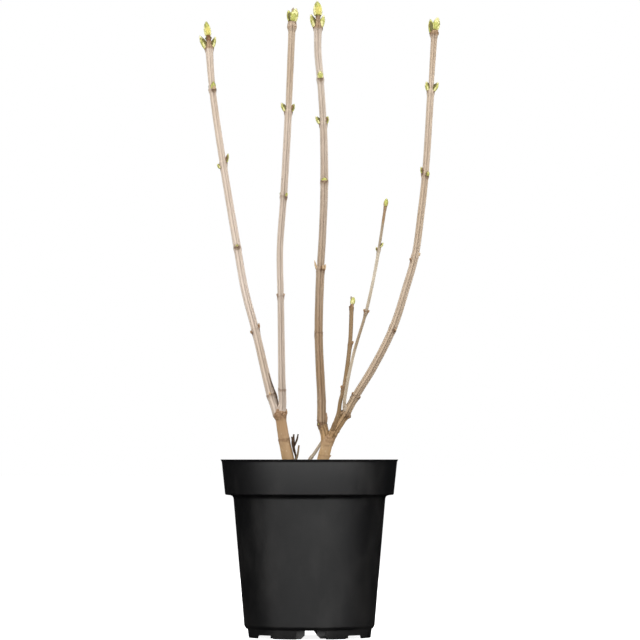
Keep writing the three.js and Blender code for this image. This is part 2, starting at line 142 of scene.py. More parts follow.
def bud(at, side, length, width, lean, kind, slide=0.0):
    """A bud at a joint, towards a side: 0 right, 90 back, 180 left, 270 front. slide is
    how far along the limb it stands off its joint."""
    side, lean = math.radians(side), math.radians(lean)
    return Bud(at, side, metres(length), metres(width), lean, kind, metres(slide))


def pair(at, side, kind):
    """Two small buds, one on either side of a joint."""
    return [(at, turn, 3.2, 2.8, 20, kind) for turn in (side, side + 180)]


def joints(*rows):
    return [joint(*row) for row in rows]


def buds(*rows):
    return [bud(*row) for row in rows]


# The tables are in millimetres and degrees. Each limb is a row of joints, base first, and
# its buds and tip stand at joints by number. meets names the limbs that it grows from.
# knotty says how rough and brown a joint is, and rings how dark the line round it. band is
# how dark a band of painted shade runs down the front and back of the limb, and on which side.
# tone gives the bark's paleness by height, and below the height called aged its bark is as
# old as the stems'.
STEMS = {
    "left_stem": dict(
        knotty={5: 1.0, 4: 0.3},
        rings={4: 0.75, 5: 0.5},
        band=(0.2, 284),
        tone=((163, 0.2), (208, 0.3), (216, 0.55), (232, 0.6), (237, 1.0)),
        joints=joints(
            (-17, 8.2, 163, 19.5, 19.5, 18.5),
            (-18.5, 7.8, 170, 16.6, 16.6, 16),
            (-20.4, 7.2, 178.5, 14.6, 14.6, 14.3),
            (-23.6, 6.2, 193.5, 13.3, 13.3, 13),
            (-27.2, 5.2, 211, 12.1, 12.9, 12.1),
            (-31.4, 4.2, 238.6, 11.2, 13.4, 12),
            (-32, 4.1, 243.8, 10.5, 9, 8),
        ),
        buds=buds(
            (5, 186, 4.4, 6, 66, KNOB, -2.4),
            (5, 246, 3.6, 5.6, 66, KNOB, -1.2),
            (5, 312, 3.8, 5, 60, KNOB, -2.2),
            (5, 0, 7.2, 4.4, 20, KNOB, -2.6),
        ),
    ),
    "right_stem": dict(
        knotty={5: 0.6, 3: 0.2},
        rings={3: 0.35, 5: 0.3},
        band=(0.15, 284),
        tone=((163, 0.0), (200, 0.15), (213, 0.5)),
        joints=joints(
            (8.8, -2.7, 163, 18.4, 18.4, 17.4),
            (10.2, -3.1, 170, 15.6, 15.6, 15),
            (12.2, -3.8, 178.5, 13.7, 13.7, 13.3),
            (15.5, -4.8, 193.5, 12.7, 12.9, 12.4),
            (18.2, -5.6, 204, 12.2),
            (20.4, -6, 212.5, 12.3, 12.2, 10.5),
            (21, -6, 216, 9.6, 8.5, 8),
        ),
        buds=buds(
            (3, 20, 3.2, 2.8, 55, KNOB),
        ),
    ),
}

SHOOTS = {
    "shoot_far_left": dict(
        meets=("left_stem",),
        knotty={2: 0.3, 9: 0.45},
        rings={2: 0.8, 3: 0.3, 5: 0.5},
        band=(0.16, 290),
        tone=((238, 1.0), (256, 0.95), (275, 0.8), (295, 0.78), (340, 0.97), (378, 1.0),
              (400, 0.93), (465, 0.92), (550, 0.78)),
        joints=joints(
            (-34.5, 4.2, 236, 8, 8, 8.6),
            (-37.3, 4.9, 246, 9.2),
            (-41.3, 7, 258.3, 9.2, 10.2, 9.3),
            (-58.2, 17, 328.5, 8.5, 9.6, 8.6),
            (-69.5, 23.5, 371, 8.4),
            (-78, 30, 418, 8.2, 9.2, 8.4),
            (-93.7, 42, 510, 7.9, 9.6, 7.6),
            (-105.6, 52, 591.5, 7.3, 9.8, 7),
            (-109.3, 57, 637, 8.4, 10.4, 8),
            (-109.6, 57.6, 644.5, 6.6, 6.4, 6.2),
        ),
        buds=buds(
            *pair(2, 262, SPUR),
            (3, 180, 4.4, 3.4, 36, BROWN, -2.8),
            (3, 0, 7.6, 3, 18, BROWN),
            *pair(5, 270, YELLOW),
            (6, 180, 6.5, 4.4, 34, GREEN, -4.8),
            (6, 0, 11.5, 3.6, 22, OLIVE),
            (7, 292, 9.5, 5.8, 22, YELLOW, -1.2),
            (7, 112, 8.5, 5, 26, GREEN),
            (8, 180, 17.5, 6.2, 25.5, GREEN, -1),
            (8, 0, 13.5, 5, 21, GREEN),
        ),
        tip=bud(9, 188, 22.8, 7.1, 6, PALE),
    ),
    "shoot_mid_left": dict(
        meets=("left_stem", "shoot_far_left"),
        knotty={2: 0.3, 8: 0.6},
        rings={2: 0.8, 3: 0.45, 5: 0.55, 7: 0.6, 8: 0.5},
        band=(0.4, 280),
        tone=((238, 1.0), (320, 1.0), (420, 0.86), (520, 0.87), (570, 0.7), (600, 0.52)),
        joints=joints(
            (-30.9, 3.6, 236, 7.6, 7.6, 8),
            (-28.9, 1.4, 249.4, 8.6),
            (-29.3, -1.5, 264.5, 8.5, 8.9, 8),
            (-30.7, -15, 364, 7, 8, 7),
            (-31.4, -22, 413.5, 7),
            (-27.4, -30, 469.5, 7.2, 8.7, 7.7),
            (-22.3, -42, 559, 7.8, 9.6, 6.8),
            (-18.4, -51.5, 648.2, 7.6, 10.6, 9.8),
            (-18.2, -52, 654, 9.2, 8.6, 7),
        ),
        buds=buds(
            *pair(3, 0, BROWN),
            (5, 318, 5, 3.4, 26, YELLOW),
            (5, 138, 5, 3.6, 28, YELLOW),
            (6, 180, 11, 5.2, 32, GREEN),
            (6, 0, 9.5, 4.6, 20, OLIVE),
            (8, 176, 12.5, 6, 14, OLIVE),
            (8, 352, 15, 8.4, 13, GREEN),
        ),
        tip=bud(8, 90, 14, 2.8, 1, STUB),
    ),
    "shoot_mid_right": dict(
        meets=("right_stem",),
        knotty={2: 1.0, 4: 0.3, 11: 0.4, 12: 0.8},
        rings={2: 0.9, 4: 0.75, 5: 0.12, 7: 0.8, 11: 0.5},
        band=(0.7, 269),
        aged=226.5,
        tone=((280, 0.05), (350, 0.18), (445, 0.48), (520, 0.75), (575, 0.8), (630, 1.0)),
        joints=joints(
            (18, -6, 208.5, 8.8, 8.6, 9),
            (15.1, -6.6, 222.2, 9.8),
            (13.4, -7, 227.5, 10, 11.2, 9.7),
            (12.9, -4, 253.5, 9.6, 9.9, 9.5),
            (9.9, 4, 324, 9, 9.6, 9),
            (11.8, 12, 393, 9.3, 10.2, 8.1),
            (14.1, 17, 433, 8.1),
            (15.9, 24, 489, 8.6, 9.4, 8.8),
            (14.8, 33, 552, 8, 9.4, 7.6),
            (11.6, 40, 601.5, 7.3, 9.2, 7.7),
            (9, 43.5, 631, 8),
            (9, 47, 658, 8.6, 10.6, 8.6),
            (9.2, 48, 671, 4.8, 5.2, 5.2),
        ),
        buds=buds(
            (2, 225, 1.2, 2.6, 40, OLIVE),
            (2, 355, 11, 3.4, 14, KNOB),
            (5, 180, 10.5, 2.4, 16, SPUR),
            (5, 358, 7.2, 2.7, 11, SPUR, -0.6),
            (5, 300, 5.4, 4, 30, BROWN),
            (7, 272, 4.6, 6.4, 34, YELLOW),
            (7, 92, 4.6, 6, 34, YELLOW),
            (8, 180, 11, 5.2, 32, GREEN),
            (8, 0, 9.5, 4.6, 18, OLIVE),
            (9, 275, 9, 6, 22, GREEN),
            (9, 95, 9, 6, 22, GREEN),
            (11, 180, 16.5, 6.2, 20, GREEN),
            (11, 0, 15, 5.6, 15, GREEN),
        ),
        tip=bud(12, 186, 17, 9.2, 4, PALE),
    ),
    "shoot_far_right": dict(
        meets=("right_stem", "shoot_mid_right"),
        knotty={1: 0.7, 2: 1.0, 3: 0.4, 11: 0.6},
        rings={2: 0.8, 3: 0.6, 5: 0.2, 7: 0.12, 9: 0.5, 11: 0.7},
        band=(0.4, 277),
        aged=236.5,
        tone=((236, 0.2), (250, 0.32), (270, 0.52), (370, 0.6), (450, 0.5), (535, 0.7), (600, 0.55)),
        joints=joints(
            (21.4, -6, 210, 8, 8, 8.4),
            (26.2, -8, 218.3, 8.8, 10, 9),
            (38.6, -10, 237.7, 8.8, 11.4, 8.8),
            (49.2, -11.5, 256.8, 8.6, 9.8, 8.6),
            (68.2, -14, 287.8, 8.6),
            (89.3, -17, 330, 8.4, 9.2, 8.6),
            (103.4, -20, 373.5, 8.3),
            (112.7, -22, 406.5, 7.9, 9.2, 7.8),
            (119.1, -24, 452.5, 7.7),
            (123.6, -26, 493.5, 7.4, 9.4, 7.3),
            (129.4, -28, 582, 7.6, 8.8, 5.6),
            (133.2, -30, 643.5, 7, 10.8, 9.2),
            (133.4, -30, 647, 8, 7.6, 7),
        ),
        buds=buds(
            *pair(3, 0, BROWN),
            (5, 318, 3.4, 3, 34, BROWN, -2),
            (5, 138, 3.2, 2.8, 24, BROWN, 2),
            (7, 0, 3.4, 3, 24, SPUR, 1),
            (7, 190, 3.4, 3, 30, BROWN, -6),
            (9, 196, 7.5, 3.6, 20, OLIVE, 0.6),
            (9, 306, 5.4, 4.8, 32, OLIVE, -1.6),
            (10, 180, 11, 5.8, 20, GREEN),
            (10, 0, 12, 5.6, 30, GREEN),
            (11, 178, 16, 6, 9, OLIVE),
        ),
        tip=bud(12, 2, 15, 7.3, 9.5, GREEN),
    ),
    "long_twig": dict(
        meets=("shoot_far_right",),
        knotty={1: 0.5, 4: 0.4},
        rings={4: 0.6},
        band=(0.2, 284),
        tone=((250, 0.6), (300, 0.55), (312, 0.15), (342, 0.15), (352, 0.5), (385, 0.8), (408, 0.7),
              (416, 0.25), (455, 0.2)),
        joints=joints(
            (40.4, -10.5, 237.5, 3, 3, 3.4),
            (37.4, -14.2, 246.5, 3.8, 3.8, 3.6),
            (39.5, -20, 265.2, 3.4),
            (47.3, -28, 302.4, 3.3),
            (60.2, -38, 346, 3.2, 4.6, 3.4),
            (69.1, -47, 386.1, 3.4),
            (73.7, -52, 412.5, 3.6, 4.4, 3),
            (80.4, -59.8, 456.8, 3, 3.8, 3.2),
        ),
        buds=buds(
            (4, 0, 3.6, 3, 40, BROWN),
            (4, 180, 3.6, 3, 40, BROWN),
            (6, 0, 6.2, 3.4, 30, GREEN, 2),
            (6, 180, 4.5, 2.8, 34, OLIVE, -2.4),
        ),
        tip=bud(7, 0, 9.2, 4.8, 1, YELLOW),
    ),
    "short_twig": dict(
        meets=("shoot_far_right", "shoot_mid_right", "right_stem"),
        knotty={1: 0.5, 4: 0.6, 7: 0.6},
        rings={4: 0.7, 5: 0.6, 6: 0.9},
        band=(0.3, 284),
        tone=((220, 0.1), (270, 0.5), (300, 0.45), (334, 0.6), (349, 0.6), (352.5, 0.0)),
        joints=joints(
            (22.6, -7.5, 212.5, 4, 4, 4.4),
            (26.4, -12, 225.5, 4.8, 4.8, 4.7),
            (31, -12.8, 238.6, 4.6, 4.6, 4.4),
            (33, -12.4, 251.5, 4.2),
            (36.6, -9, 265, 4.4, 5.8, 4.4),
            (43.4, 3, 313, 4.6, 5.6, 4.4),
            (45.4, 14, 353.5, 4.6, 5, 4.6),
            (45.8, 14.6, 356.2, 4.4, 4.2, 4),
        ),
        buds=buds(
            (4, 180, 4, 3, 32, BROWN),
            (5, 0, 4.6, 3.2, 28, BROWN),
            (6, 195, 11, 2.2, 8, STUB),
        ),
        tip=bud(7, 0, 9, 5, 4, GREEN),
    ),
}

DEAD_WOOD = {
    "dead_spur": [
        [(-19, 5, 181, 1.8), (-14.7, 4.4, 191, 2),
         (-16.8, 3, 201, 3.3), (-17.5, 2, 207.5, 4.2),
         (-16.7, 1.2, 216.4, 2.1)],
        [(-17, 2.8, 203, 2.8), (-13.6, 1, 210, 2.2),
         (-12.1, 0.4, 216.6, 1.7)],
        [(-17.4, 2, 205.5, 2.6), (-19.2, 0.8, 213.8, 1.5)],
    ],
    "stub_twig": [
        [(-18, 1.8, 181, 2.4), (-13.2, 0.4, 192.4, 2.4),
         (-11.2, -0.6, 204.6, 2.1)],
    ],
    "loose_twig": [
        [(-9, 13.6, 163, 3), (-3.6, 12, 181, 3),
         (1.6, 10.8, 191.2, 4.6), (4.6, 10.4, 195.1, 3.8),
         (16.4, 6.4, 213.6, 3)],
    ],
}

# A thin dark sliver, from the left fork up the flank of the shoot.
DARK_SLIVER = [(-33.1, 0.2, 244.5, 1.4), (-34.3, 0.8, 252.5, 1.5), (-35.6, 2, 257.8, 2.1),
               (-38.8, 4.2, 266.9, 1.3), (-42.4, 6.6, 277.2, 0.9), (-45.5, 8.6, 287, 0.7)]


# ------------------------------------------------------------------ curves

def smooth(value):
    """0 below 0, 1 above 1, and an even S between."""
    value = np.clip(value, 0.0, 1.0)
    return value * value * (3 - 2 * value)


def turned(angles, side):
    """How far round from a side each angle of a ring lies, from -pi to pi."""
    return (angles - side + HALF) % FULL - HALF


def toward(angles, side, spread):
    """1 where a point of a ring faces a side, falling to 0 round from it."""
    return np.exp(-(turned(angles, side) / spread) ** 2)


class Path:
    """The smooth centripetal curve of a limb through its joints, measured along it."""

    FINE = 30

    def __init__(self, points):
        ends = [2 * points[0] - points[1], *points, 2 * points[-1] - points[-2]]
        self.cubics = [self.cubic(*ends[i:i + 4]) for i in range(len(points) - 1)]
        count = self.FINE * len(self.cubics)
        self.samples = [self.at(i / self.FINE) for i in range(count + 1)]
        steps = [(b - a).length for a, b in zip(self.samples, self.samples[1:])]
        self.lengths = np.concatenate([[0.0], np.cumsum(steps)])
        self.stops = [float(self.lengths[i * self.FINE]) for i in range(len(points))]
        self.length = float(self.lengths[-1])

    @staticmethod
    def cubic(before, start, end, after):
        """The factors of 1, t, t squared and t cubed of the stretch from start to end."""
        spans = ((before, start), (start, end), (end, after))
        a, b, c = (max((q - p).length, 1e-9) ** 0.5 for p, q in spans)
        leave = ((start - before) / a - (end - before) / (a + b) + (end - start) / b) * b
        reach = ((end - start) / b - (after - start) / (b + c) + (after - end) / c) * b
        return start, leave, 3 * (end - start) - 2 * leave - reach, 2 * (start - end) + leave + reach

    def stretch(self, along):
        """The cubic at a measure that counts joints, and how far along the cubic it is."""
        number = min(int(along), len(self.cubics) - 1)
        return self.cubics[number], along - number

    def at(self, along):
        (a, b, c, d), t = self.stretch(along)
        return a + b * t + c * t ** 2 + d * t ** 3

    def frame_at(self, distance):
        """Place, heading and the two directions across: right-hand and to the back."""
        inside = min(max(distance, 0.0), self.length)
        along = float(np.interp(inside, self.lengths, np.arange(len(self.lengths)))) / self.FINE
        (_, b, c, d), t = self.stretch(along)
        heading = (b + 2 * c * t + 3 * d * t ** 2).normalized()
        place = self.at(along) + heading * (distance - inside)
        right = (Vector((1, 0, 0)) - heading * heading.x).normalized()
        return place, heading, right, heading.cross(right)


# ------------------------------------------------------------------ limbs

class Limb:
    """A stem, shoot or twig: its curve, its girth along it, and the joints that mark it."""

    GIRTH_EASE = 0.002  # how far before and after a joint its two girths are reached
    FAINT_RING = 0.2  # how dark the line is at a joint that only has buds

    def __init__(self, joints, tone, buds=(), tip=None, knotty=(), rings=(), band=(0.0, 0), aged=0.0,
                 meets=()):
        knotty, rings = dict(knotty), dict(rings)
        self.joints = joints
        self.buds = buds
        self.tip = tip
        self.meets = meets
        self.tone = [(metres(height), paleness) for height, paleness in tone]
        self.aged = metres(aged)
        # band: the strength and the side of the band of painted shade down the limb
        self.band, side = band
        self.shade_band_side = math.radians(side)
        self.path = Path([POT_AXIS + each.at for each in joints])
        self.neighbours = []
        self.places, self.girths = [0.0], [joints[0].above]
        for stop, each in list(zip(self.path.stops, joints))[1:]:
            self.places += [stop - self.GIRTH_EASE, stop + self.GIRTH_EASE]
            self.girths += [each.below, each.above]
        self.nodes = []
        for number, (stop, each) in enumerate(zip(self.path.stops, joints)):
            here = [grown for grown in buds if grown.at == number]
            swollen = each.knuckle > max(each.below, each.above) + KNUCKLE["swollen"]
            if number and (here or swollen or number in knotty or number in rings):
                ringed = rings.get(number, self.FAINT_RING if here else 0.0)
                self.nodes.append(Node(stop, each.knuckle, here, knotty.get(number, 0.0), ringed))

    def plain_girth(self, distance):
        """The girth of the even wood, without its knuckles."""
        return float(np.interp(distance, self.places, self.girths))

    def gap_to(self, point):
        """How far a point stands off this limb's bark, and below 0 inside it."""
        place, heading, radius = min(self.samples, key=lambda sample: (point - sample[0]).length_squared)
        offset = point - place
        along = offset.dot(heading)
        if abs(along) > MEETING["beside"]:
            return 1.0
        return (offset - heading * along).length - radius

    def sample_near(self, others):
        """Keeps the stretch of this limb that comes close to the others, in short steps."""
        self.samples = []
        points = [point for other in others for point in other.path.samples]
        for number in range(int(self.path.length / MEETING["step"]) + 1):
            distance = number * MEETING["step"]
            place, heading, _, _ = self.path.frame_at(distance)
            if any((place - point).length < MEETING["reach"] for point in points):
                self.samples.append((place, heading, self.plain_girth(distance) / 2))


def grow_limbs():
    """Every stem and shoot as a Limb, each knowing the ones that it meets."""
    limbs = {name: Limb(**row) for name, row in {**STEMS, **SHOOTS}.items()}
    for name, limb in limbs.items():
        met = set(limb.meets) | {other for other, row in limbs.items() if name in row.meets}
        limb.neighbours = [limbs[other] for other in sorted(met)]
    for limb in limbs.values():
        limb.sample_near(limb.neighbours)
    return limbs


def dead_limb(rows, tone):
    """A dry twig of one paleness, through places with a girth each."""
    return Limb(joints(*rows), ((160, tone), (300, tone)))


class BarkRing:
    """One ring of a limb: the angles of its corners, its radius at each, and its marks: stripe is
    brown marks and a band of painted shade along it, ring dark lines and painted shade in
    hollows, scar the pale mark of a leaf."""

    def __init__(self, limb, distance, angles):
        self.angles = angles
        self.plain = limb.plain_girth(distance) / 2
        self.radius = self.plain * (1 - SQUARENESS * np.cos(4 * angles))
        # The stripe mark starts as a band of painted shade down the limb, on the side that the table gives
        # and on the opposite side.
        drift = noise.noise(Vector((limb.joints[0].at.x * 90, 4, distance * SHADE_BAND["fineness"])))
        both = sum(self.toward(limb.shade_band_side - back, SHADE_BAND["spread"]) for back in (0, HALF))
        nothing = np.zeros_like(angles)
        self.marks = {"stripe": limb.band * (SHADE_BAND["strength"] + SHADE_BAND["varies"] * drift) * both,
                      "ring": nothing, "scar": nothing}

    def toward(self, side, spread):
        return toward(self.angles, side, spread)

    def mark(self, name, strength):
        """Marks the bark: where marks overlap, the strongest shows."""
        self.marks[name] = np.maximum(self.marks[name], strength)

    def add_knuckle(self, node, past):
        """The swelling of a joint, flatter at the front and back of a pair of side buds."""
        sides = [grown.side for grown in node.buds if grown.kind not in (KNOB, SPUR)]
        facing = np.zeros_like(self.angles)
        for side in sides:
            facing = facing + self.toward(side, KNUCKLE["bud_spread"])
        sideways = max((abs(math.cos(side)) for side in sides), default=0.0)
        reach = KNUCKLE["below"] if past < 0 else KNUCKLE["above"]
        swell = (node.knuckle / 2 - self.plain) * smooth(1 - abs(past) / reach)
        self.radius += swell * (1 - KNUCKLE["flatter"] * sideways * (1 - np.minimum(facing, 1.0)))

    def add_cushion(self, grown, above, frontal):
        """The leaf cushion under a bud."""
        swell = min(CUSHION["share"] * grown.length, CUSHION["most"]) * (SIDE_SHARE + frontal)
        run = CUSHION["run"] if above < 0 else CUSHION["ledge"]
        fade = smooth(1 - abs(above) / run) ** 2
        self.radius += (CUSHION["least"] + swell) * fade * self.toward(grown.side, CUSHION["spread"])

    def add_ledge(self, grown, above):
        """The brown ledge right under a bud, widest at its top."""
        rim = float(smooth(1 + above / LEDGE["below"]))
        width = LEDGE["narrow"] + LEDGE["widens"] * rim
        ledge = smooth(1.5 - 1.5 * np.abs(turned(self.angles, grown.side)) / width) * smooth(2.5 * rim)
        self.mark("stripe", ledge)
        self.mark("ring", ledge * rim)

    def add_leaf_scar(self, grown, above):
        """The small pale hollow that last year's leaf left on the cushion."""
        height = (above + LEAF_SCAR["below"]) / LEAF_SCAR["height"]
        oval = height ** 2 + (turned(self.angles, grown.side) / LEAF_SCAR["spread"]) ** 2
        inner = np.clip(1 - oval, 0, 1)
        self.radius -= LEAF_SCAR["depth"] * inner
        self.mark("scar", LEAF_SCAR["paleness"] * smooth(2.5 * inner))

    def add_axil(self, grown, above):
        """The hollow that a bud lies against, with shade painted into it."""
        fade = float(smooth(1 - above / (AXIL["least"] + AXIL["share"] * grown.length)))
        self.radius -= AXIL["depth"] * fade * self.toward(grown.side, 0.35)
        # painted shade in the hollow above the bud, and a brown that is partly painted shade
        self.mark("ring", AXIL["dark"] * fade ** 2 * self.toward(grown.side, 0.7))
        self.mark("stripe", AXIL["brown"] * fade * self.toward(grown.side, 0.8))

    def add_trail(self, grown, above, frontal):
        """The brown stripe that runs down from a bud, and narrows."""
        spread = TRAIL["narrow"] + TRAIL["widens"] * math.exp(above / TRAIL["narrows_by"])
        fade = TRAIL["faint"] + (1 - TRAIL["faint"]) * math.exp(above / TRAIL["fades_by"])
        fade *= float(smooth((above - NODE_REACH[0]) / TRAIL["ends_over"])
                      * smooth(grown.length / TRAIL["whole_length"]))
        fade *= SIDE_SHARE + (1 - SIDE_SHARE) * frontal
        self.mark("stripe", fade * self.toward(grown.side, spread))
        self.radius -= TRAIL["depth"] * fade * self.toward(grown.side, 0.2)

    def add_bud_marks(self, grown, above):
        """Everything that a bud does to the bark around it."""
        frontal = abs(math.sin(grown.side))
        self.add_cushion(grown, above, frontal)
        if -LEDGE["below"] < above < LEDGE["above"]:
            self.add_ledge(grown, above)
        self.add_leaf_scar(grown, above)
        if above > 0:
            self.add_axil(grown, above)
        elif above < -TRAIL["from"]:
            self.add_trail(grown, above, frontal)

    def add_line(self, node, past):
        """The uneven dark line round a joint, and the brown of a knotty one."""
        wave = sum(height * np.sin(waves * self.angles + node.stop * phase)
                   for height, waves, phase in LINE_WAVES)
        line = np.exp(-((past - LINE["above"] - wave) / LINE["width"]) ** 2)
        broken = 0.55 + 0.3 * np.sin(3 * self.angles + node.stop * 400) ** 2
        self.mark("ring", node.ringed * line * broken)
        brown = np.exp(-((past - LINE["brown_above"] - wave) / LINE["brown_width"]) ** 2)
        self.mark("stripe", node.ringed * brown)
        self.radius -= LINE["depth"] * line
        if node.knotty:
            self.mark("stripe", KNOT["brown"] * node.knotty * math.exp(-(past / KNOT["run"]) ** 2))

    def add_neck(self, share, distance):
        """The brown wood under an end bud, darkest on its flanks."""
        flanks = sum(self.toward(side, BROWN_NECK["spread"]) for side in (0.0, HALF))
        streaks = 0.7 + 0.3 * np.sin(3 * self.angles + distance * 900)
        self.mark("stripe", share * (BROWN_NECK["brown"] + BROWN_NECK["brown_flanks"] * flanks))
        self.mark("ring", share * BROWN_NECK["dark_flanks"] * flanks * streaks)


def neck_share(limb, distance):
    """1 in the brown wood between the last side buds and the end bud, 0 below it."""
    if not limb.tip or limb.tip.kind == STUB:
        return 0.0
    last = max((node.stop for node in limb.nodes if node.buds), default=0.0)
    start = max(last, limb.path.length - BROWN_NECK["span"]) - BROWN_NECK["lead"]
    return float(smooth((distance - start) / BROWN_NECK["run"]))


def bark_ring(limb, distance, angles):
    """The ring of a limb at a distance, with everything that its joints do to it."""
    ring = BarkRing(limb, distance, angles)
    for node in limb.nodes:
        past = distance - node.stop
        if NODE_REACH[0] < past < NODE_REACH[1]:
            ring.add_knuckle(node, past)
            for grown in node.buds:
                if grown.kind not in (KNOB, SPUR):
                    ring.add_bud_marks(grown, past - grown.slide)
            ring.add_line(node, past)
    share = neck_share(limb, distance)
    if share:
        ring.add_neck(share, distance)
    return ring


def bumps(around, size, place):
    """Noise round a limb: around is the way that a point faces, and size how fine it is."""
    return noise.noise(around * size + Vector(place))


def bark_relief(limb, distance, angle, girth):
    """The fine unevenness of the bark at one point, a slow wobble, ridges and lumps, and
    how deep it lies in a crease between the lumps of a joint, which is painted as shade."""
    around = Vector((math.cos(angle), math.sin(angle), 0))
    fine, along, depth = WOBBLE
    relief = depth * girth * bumps(around, fine, (0, 0, distance * along + girth * 900))
    fine, along, depth = RIDGES
    relief += depth * girth * bumps(around, girth * fine, (7, 3, distance * along))
    crease = 0.0
    for node in limb.nodes:
        past = distance - node.stop
        if node.knotty and abs(past) < KNOT["reach"]:
            lumps, small_lumps = (bumps(around, girth * fine, (*place, distance * along))
                                  for (fine, along, _), place in ((LUMPS, (1, 9)), (FINE_LUMPS, (5, 2))))
            fade = node.knotty * math.exp(-(past / KNOT["run"]) ** 2)
            relief += (LUMPS[2] * lumps + FINE_LUMPS[2] * small_lumps) * fade
            hollow = max(0.0, -KNOT["crease"] * lumps - KNOT["crease_from"])
            crease = max(crease, min(1.0, hollow) * fade)
    return relief, crease


def ring_distances(limb, spacing):
    """Where the rings of a limb go: closer together at its joints."""
    places = [0.0]
    while places[-1] < limb.path.length:
        near = any(-CLOSER["below"] < places[-1] - node.stop < CLOSER["above"] for node in limb.nodes)
        places.append(places[-1] + spacing * (CLOSER["spacing"] if near else 1.0))
    places[-1] = limb.path.length
    return places


class Tube:
    """A tube that is grown ring by ring, with the bark's marks kept on its corners."""

    MARKS = ("stripe", "ring", "scar", "tone", "aged")

    def __init__(self, sides):
        self.bm = bmesh.new()
        layers = self.bm.verts.layers
        self.seat = layers.int.new("seat")
        self.grain = layers.float_vector.new("grain")
        self.marks = {name: layers.float.new(name) for name in self.MARKS}
        self.sides = sides
        self.angles = np.arange(sides) * (FULL / sides)
        self.edges = []

    def next_ring(self):
        """The corners of the next ring, still lying on the last one. The first is capped,
        and its corners know their place round it."""
        if self.edges:
            grown = bmesh.ops.extrude_edge_only(self.bm, edges=self.edges)["geom"]
            edges = [item for item in grown if isinstance(item, bmesh.types.BMEdge)]
            self.edges = [edge for edge in edges if edge.is_boundary]
            return [item for item in grown if isinstance(item, bmesh.types.BMVert)]
        made = bmesh.ops.create_circle(self.bm, cap_ends=True, segments=self.sides, radius=1)["verts"]
        for corner in made:
            turn = math.atan2(corner.co.y, corner.co.x) / FULL
            corner[self.seat] = round(turn * self.sides) % self.sides
        self.edges = list(dict.fromkeys(edge for corner in made for edge in corner.link_edges))
        return made

    def close(self):
        bmesh.ops.edgeloop_fill(self.bm, edges=self.edges)

    def put(self, corners, frame_here, distance, radii, marks):
        """Moves a ring's corners to their radii and writes its marks on them."""
        place, _, right, back = frame_here
        for corner in corners:
            seat = corner[self.seat]
            angle = self.angles[seat]
            across = right * math.cos(angle) + back * math.sin(angle)
            corner.co = place + across * radii[seat]
            round_it = Vector((math.cos(angle), math.sin(angle), 0)) * radii[seat]
            corner[self.grain] = round_it + Vector((0, 0, distance))
            for name, values in marks.items():
                corner[self.marks[name]] = values[seat]


def filled_corner(limb, point):
    """How far the bark swells outwards at a point to fill the corner with another limb."""
    width = FILLET["width"]
    gap = min((abs(other.gap_to(point)) for other in limb.neighbours if other.samples), default=width)
    return max(width - gap, 0.0) ** 2 / (4 * width)


def limb_mesh(limb, spacing, sides, relief):
    """A limb's bark from its root to its end, as a closed mesh."""
    tube = Tube(sides)
    for distance in ring_distances(limb, spacing):
        corners = tube.next_ring()
        frame_here = limb.path.frame_at(distance)
        place, _, right, back = frame_here
        ring = bark_ring(limb, distance, tube.angles)
        radii, marks = ring.radius, ring.marks
        # the dark lines round the joints, with painted shade added in creases and in the corners between
        # limbs
        dark_lines_and_shade = marks["ring"].copy()
        girth = limb.plain_girth(distance)
        near = any((place - sample[0]).length < MEETING["fills_within"]
                   for other in limb.neighbours for sample in other.samples)
        for number, angle in enumerate(tube.angles):
            depth, crease = bark_relief(limb, distance, angle, girth)
            radii[number] += relief * depth
            # painted shade in the creases between the lumps of a knotty joint
            dark_lines_and_shade[number] = max(dark_lines_and_shade[number], crease)
            if near:
                across = right * math.cos(angle) + back * math.sin(angle)
                swell = filled_corner(limb, place + across * radii[number])
                radii[number] += swell
                # painted shade in the corner where two limbs meet
                dark_lines_and_shade[number] = max(dark_lines_and_shade[number], FILLET["dark"] * swell)
        aged = smooth(0.5 + (limb.aged - place.z) / AGED["edge"])
        warm = WARM["share"] * smooth((WARM["height"] - place.z) / WARM["run"])
        brown = max(aged, BROWN_NECK["aged"] * neck_share(limb, distance), warm)
        tone = np.interp(place.z, *zip(*limb.tone))
        marks |= {"stripe": marks["stripe"] * (1 - AGED["hides_bands"] * aged), "ring": dark_lines_and_shade,
                  "tone": np.full(sides, tone), "aged": np.full(sides, brown)}
        tube.put(corners, frame_here, distance, radii, marks)
    tube.close()
    return tube.bm


# ------------------------------------------------------------------ buds

# A bud's girth from its foot to its tip, as (part of its length, part of its width).
BUD_PROFILE = ((0.0, 0.62), (0.15, 0.9), (0.38, 1.0), (0.6, 0.9), (0.83, 0.52), (1.0, 0.06))
BUD_FINISHES = ("bud_green", "bud_yellow", "bud_olive", "bud_brown", "bud_tan", "bud_grey", "bud_bark",
                "bud_gold")

# How many pairs of scales a bud has, how far their tips stand open, the finish of each pair
# from the outermost, and the finish of their edges and of the side that faces the wood, where
# it is partly the scales' own colour and partly painted shade.
Habit = namedtuple("Habit", "pairs open skins rim")
BUD_HABITS = {
    GREEN: Habit(4, 0.035, ("bud_yellow", "bud_green", "bud_green", "bud_yellow"), "bud_olive"),
    PALE: Habit(4, 0.03, ("bud_yellow", "bud_gold", "bud_yellow", "bud_green"), "bud_olive"),
    OLIVE: Habit(3, 0.03, ("bud_green", "bud_olive", "bud_green"), "bud_brown"),
    YELLOW: Habit(3, 0.02, ("bud_tan", "bud_green", "bud_green"), "bud_olive"),
    BROWN: Habit(2, 0.01, ("bud_brown", "bud_tan"), "bud_brown"),
}
DRY_SKINS = {STUB: "bud_grey", SPUR: "bud_tan", KNOB: "bud_bark"}

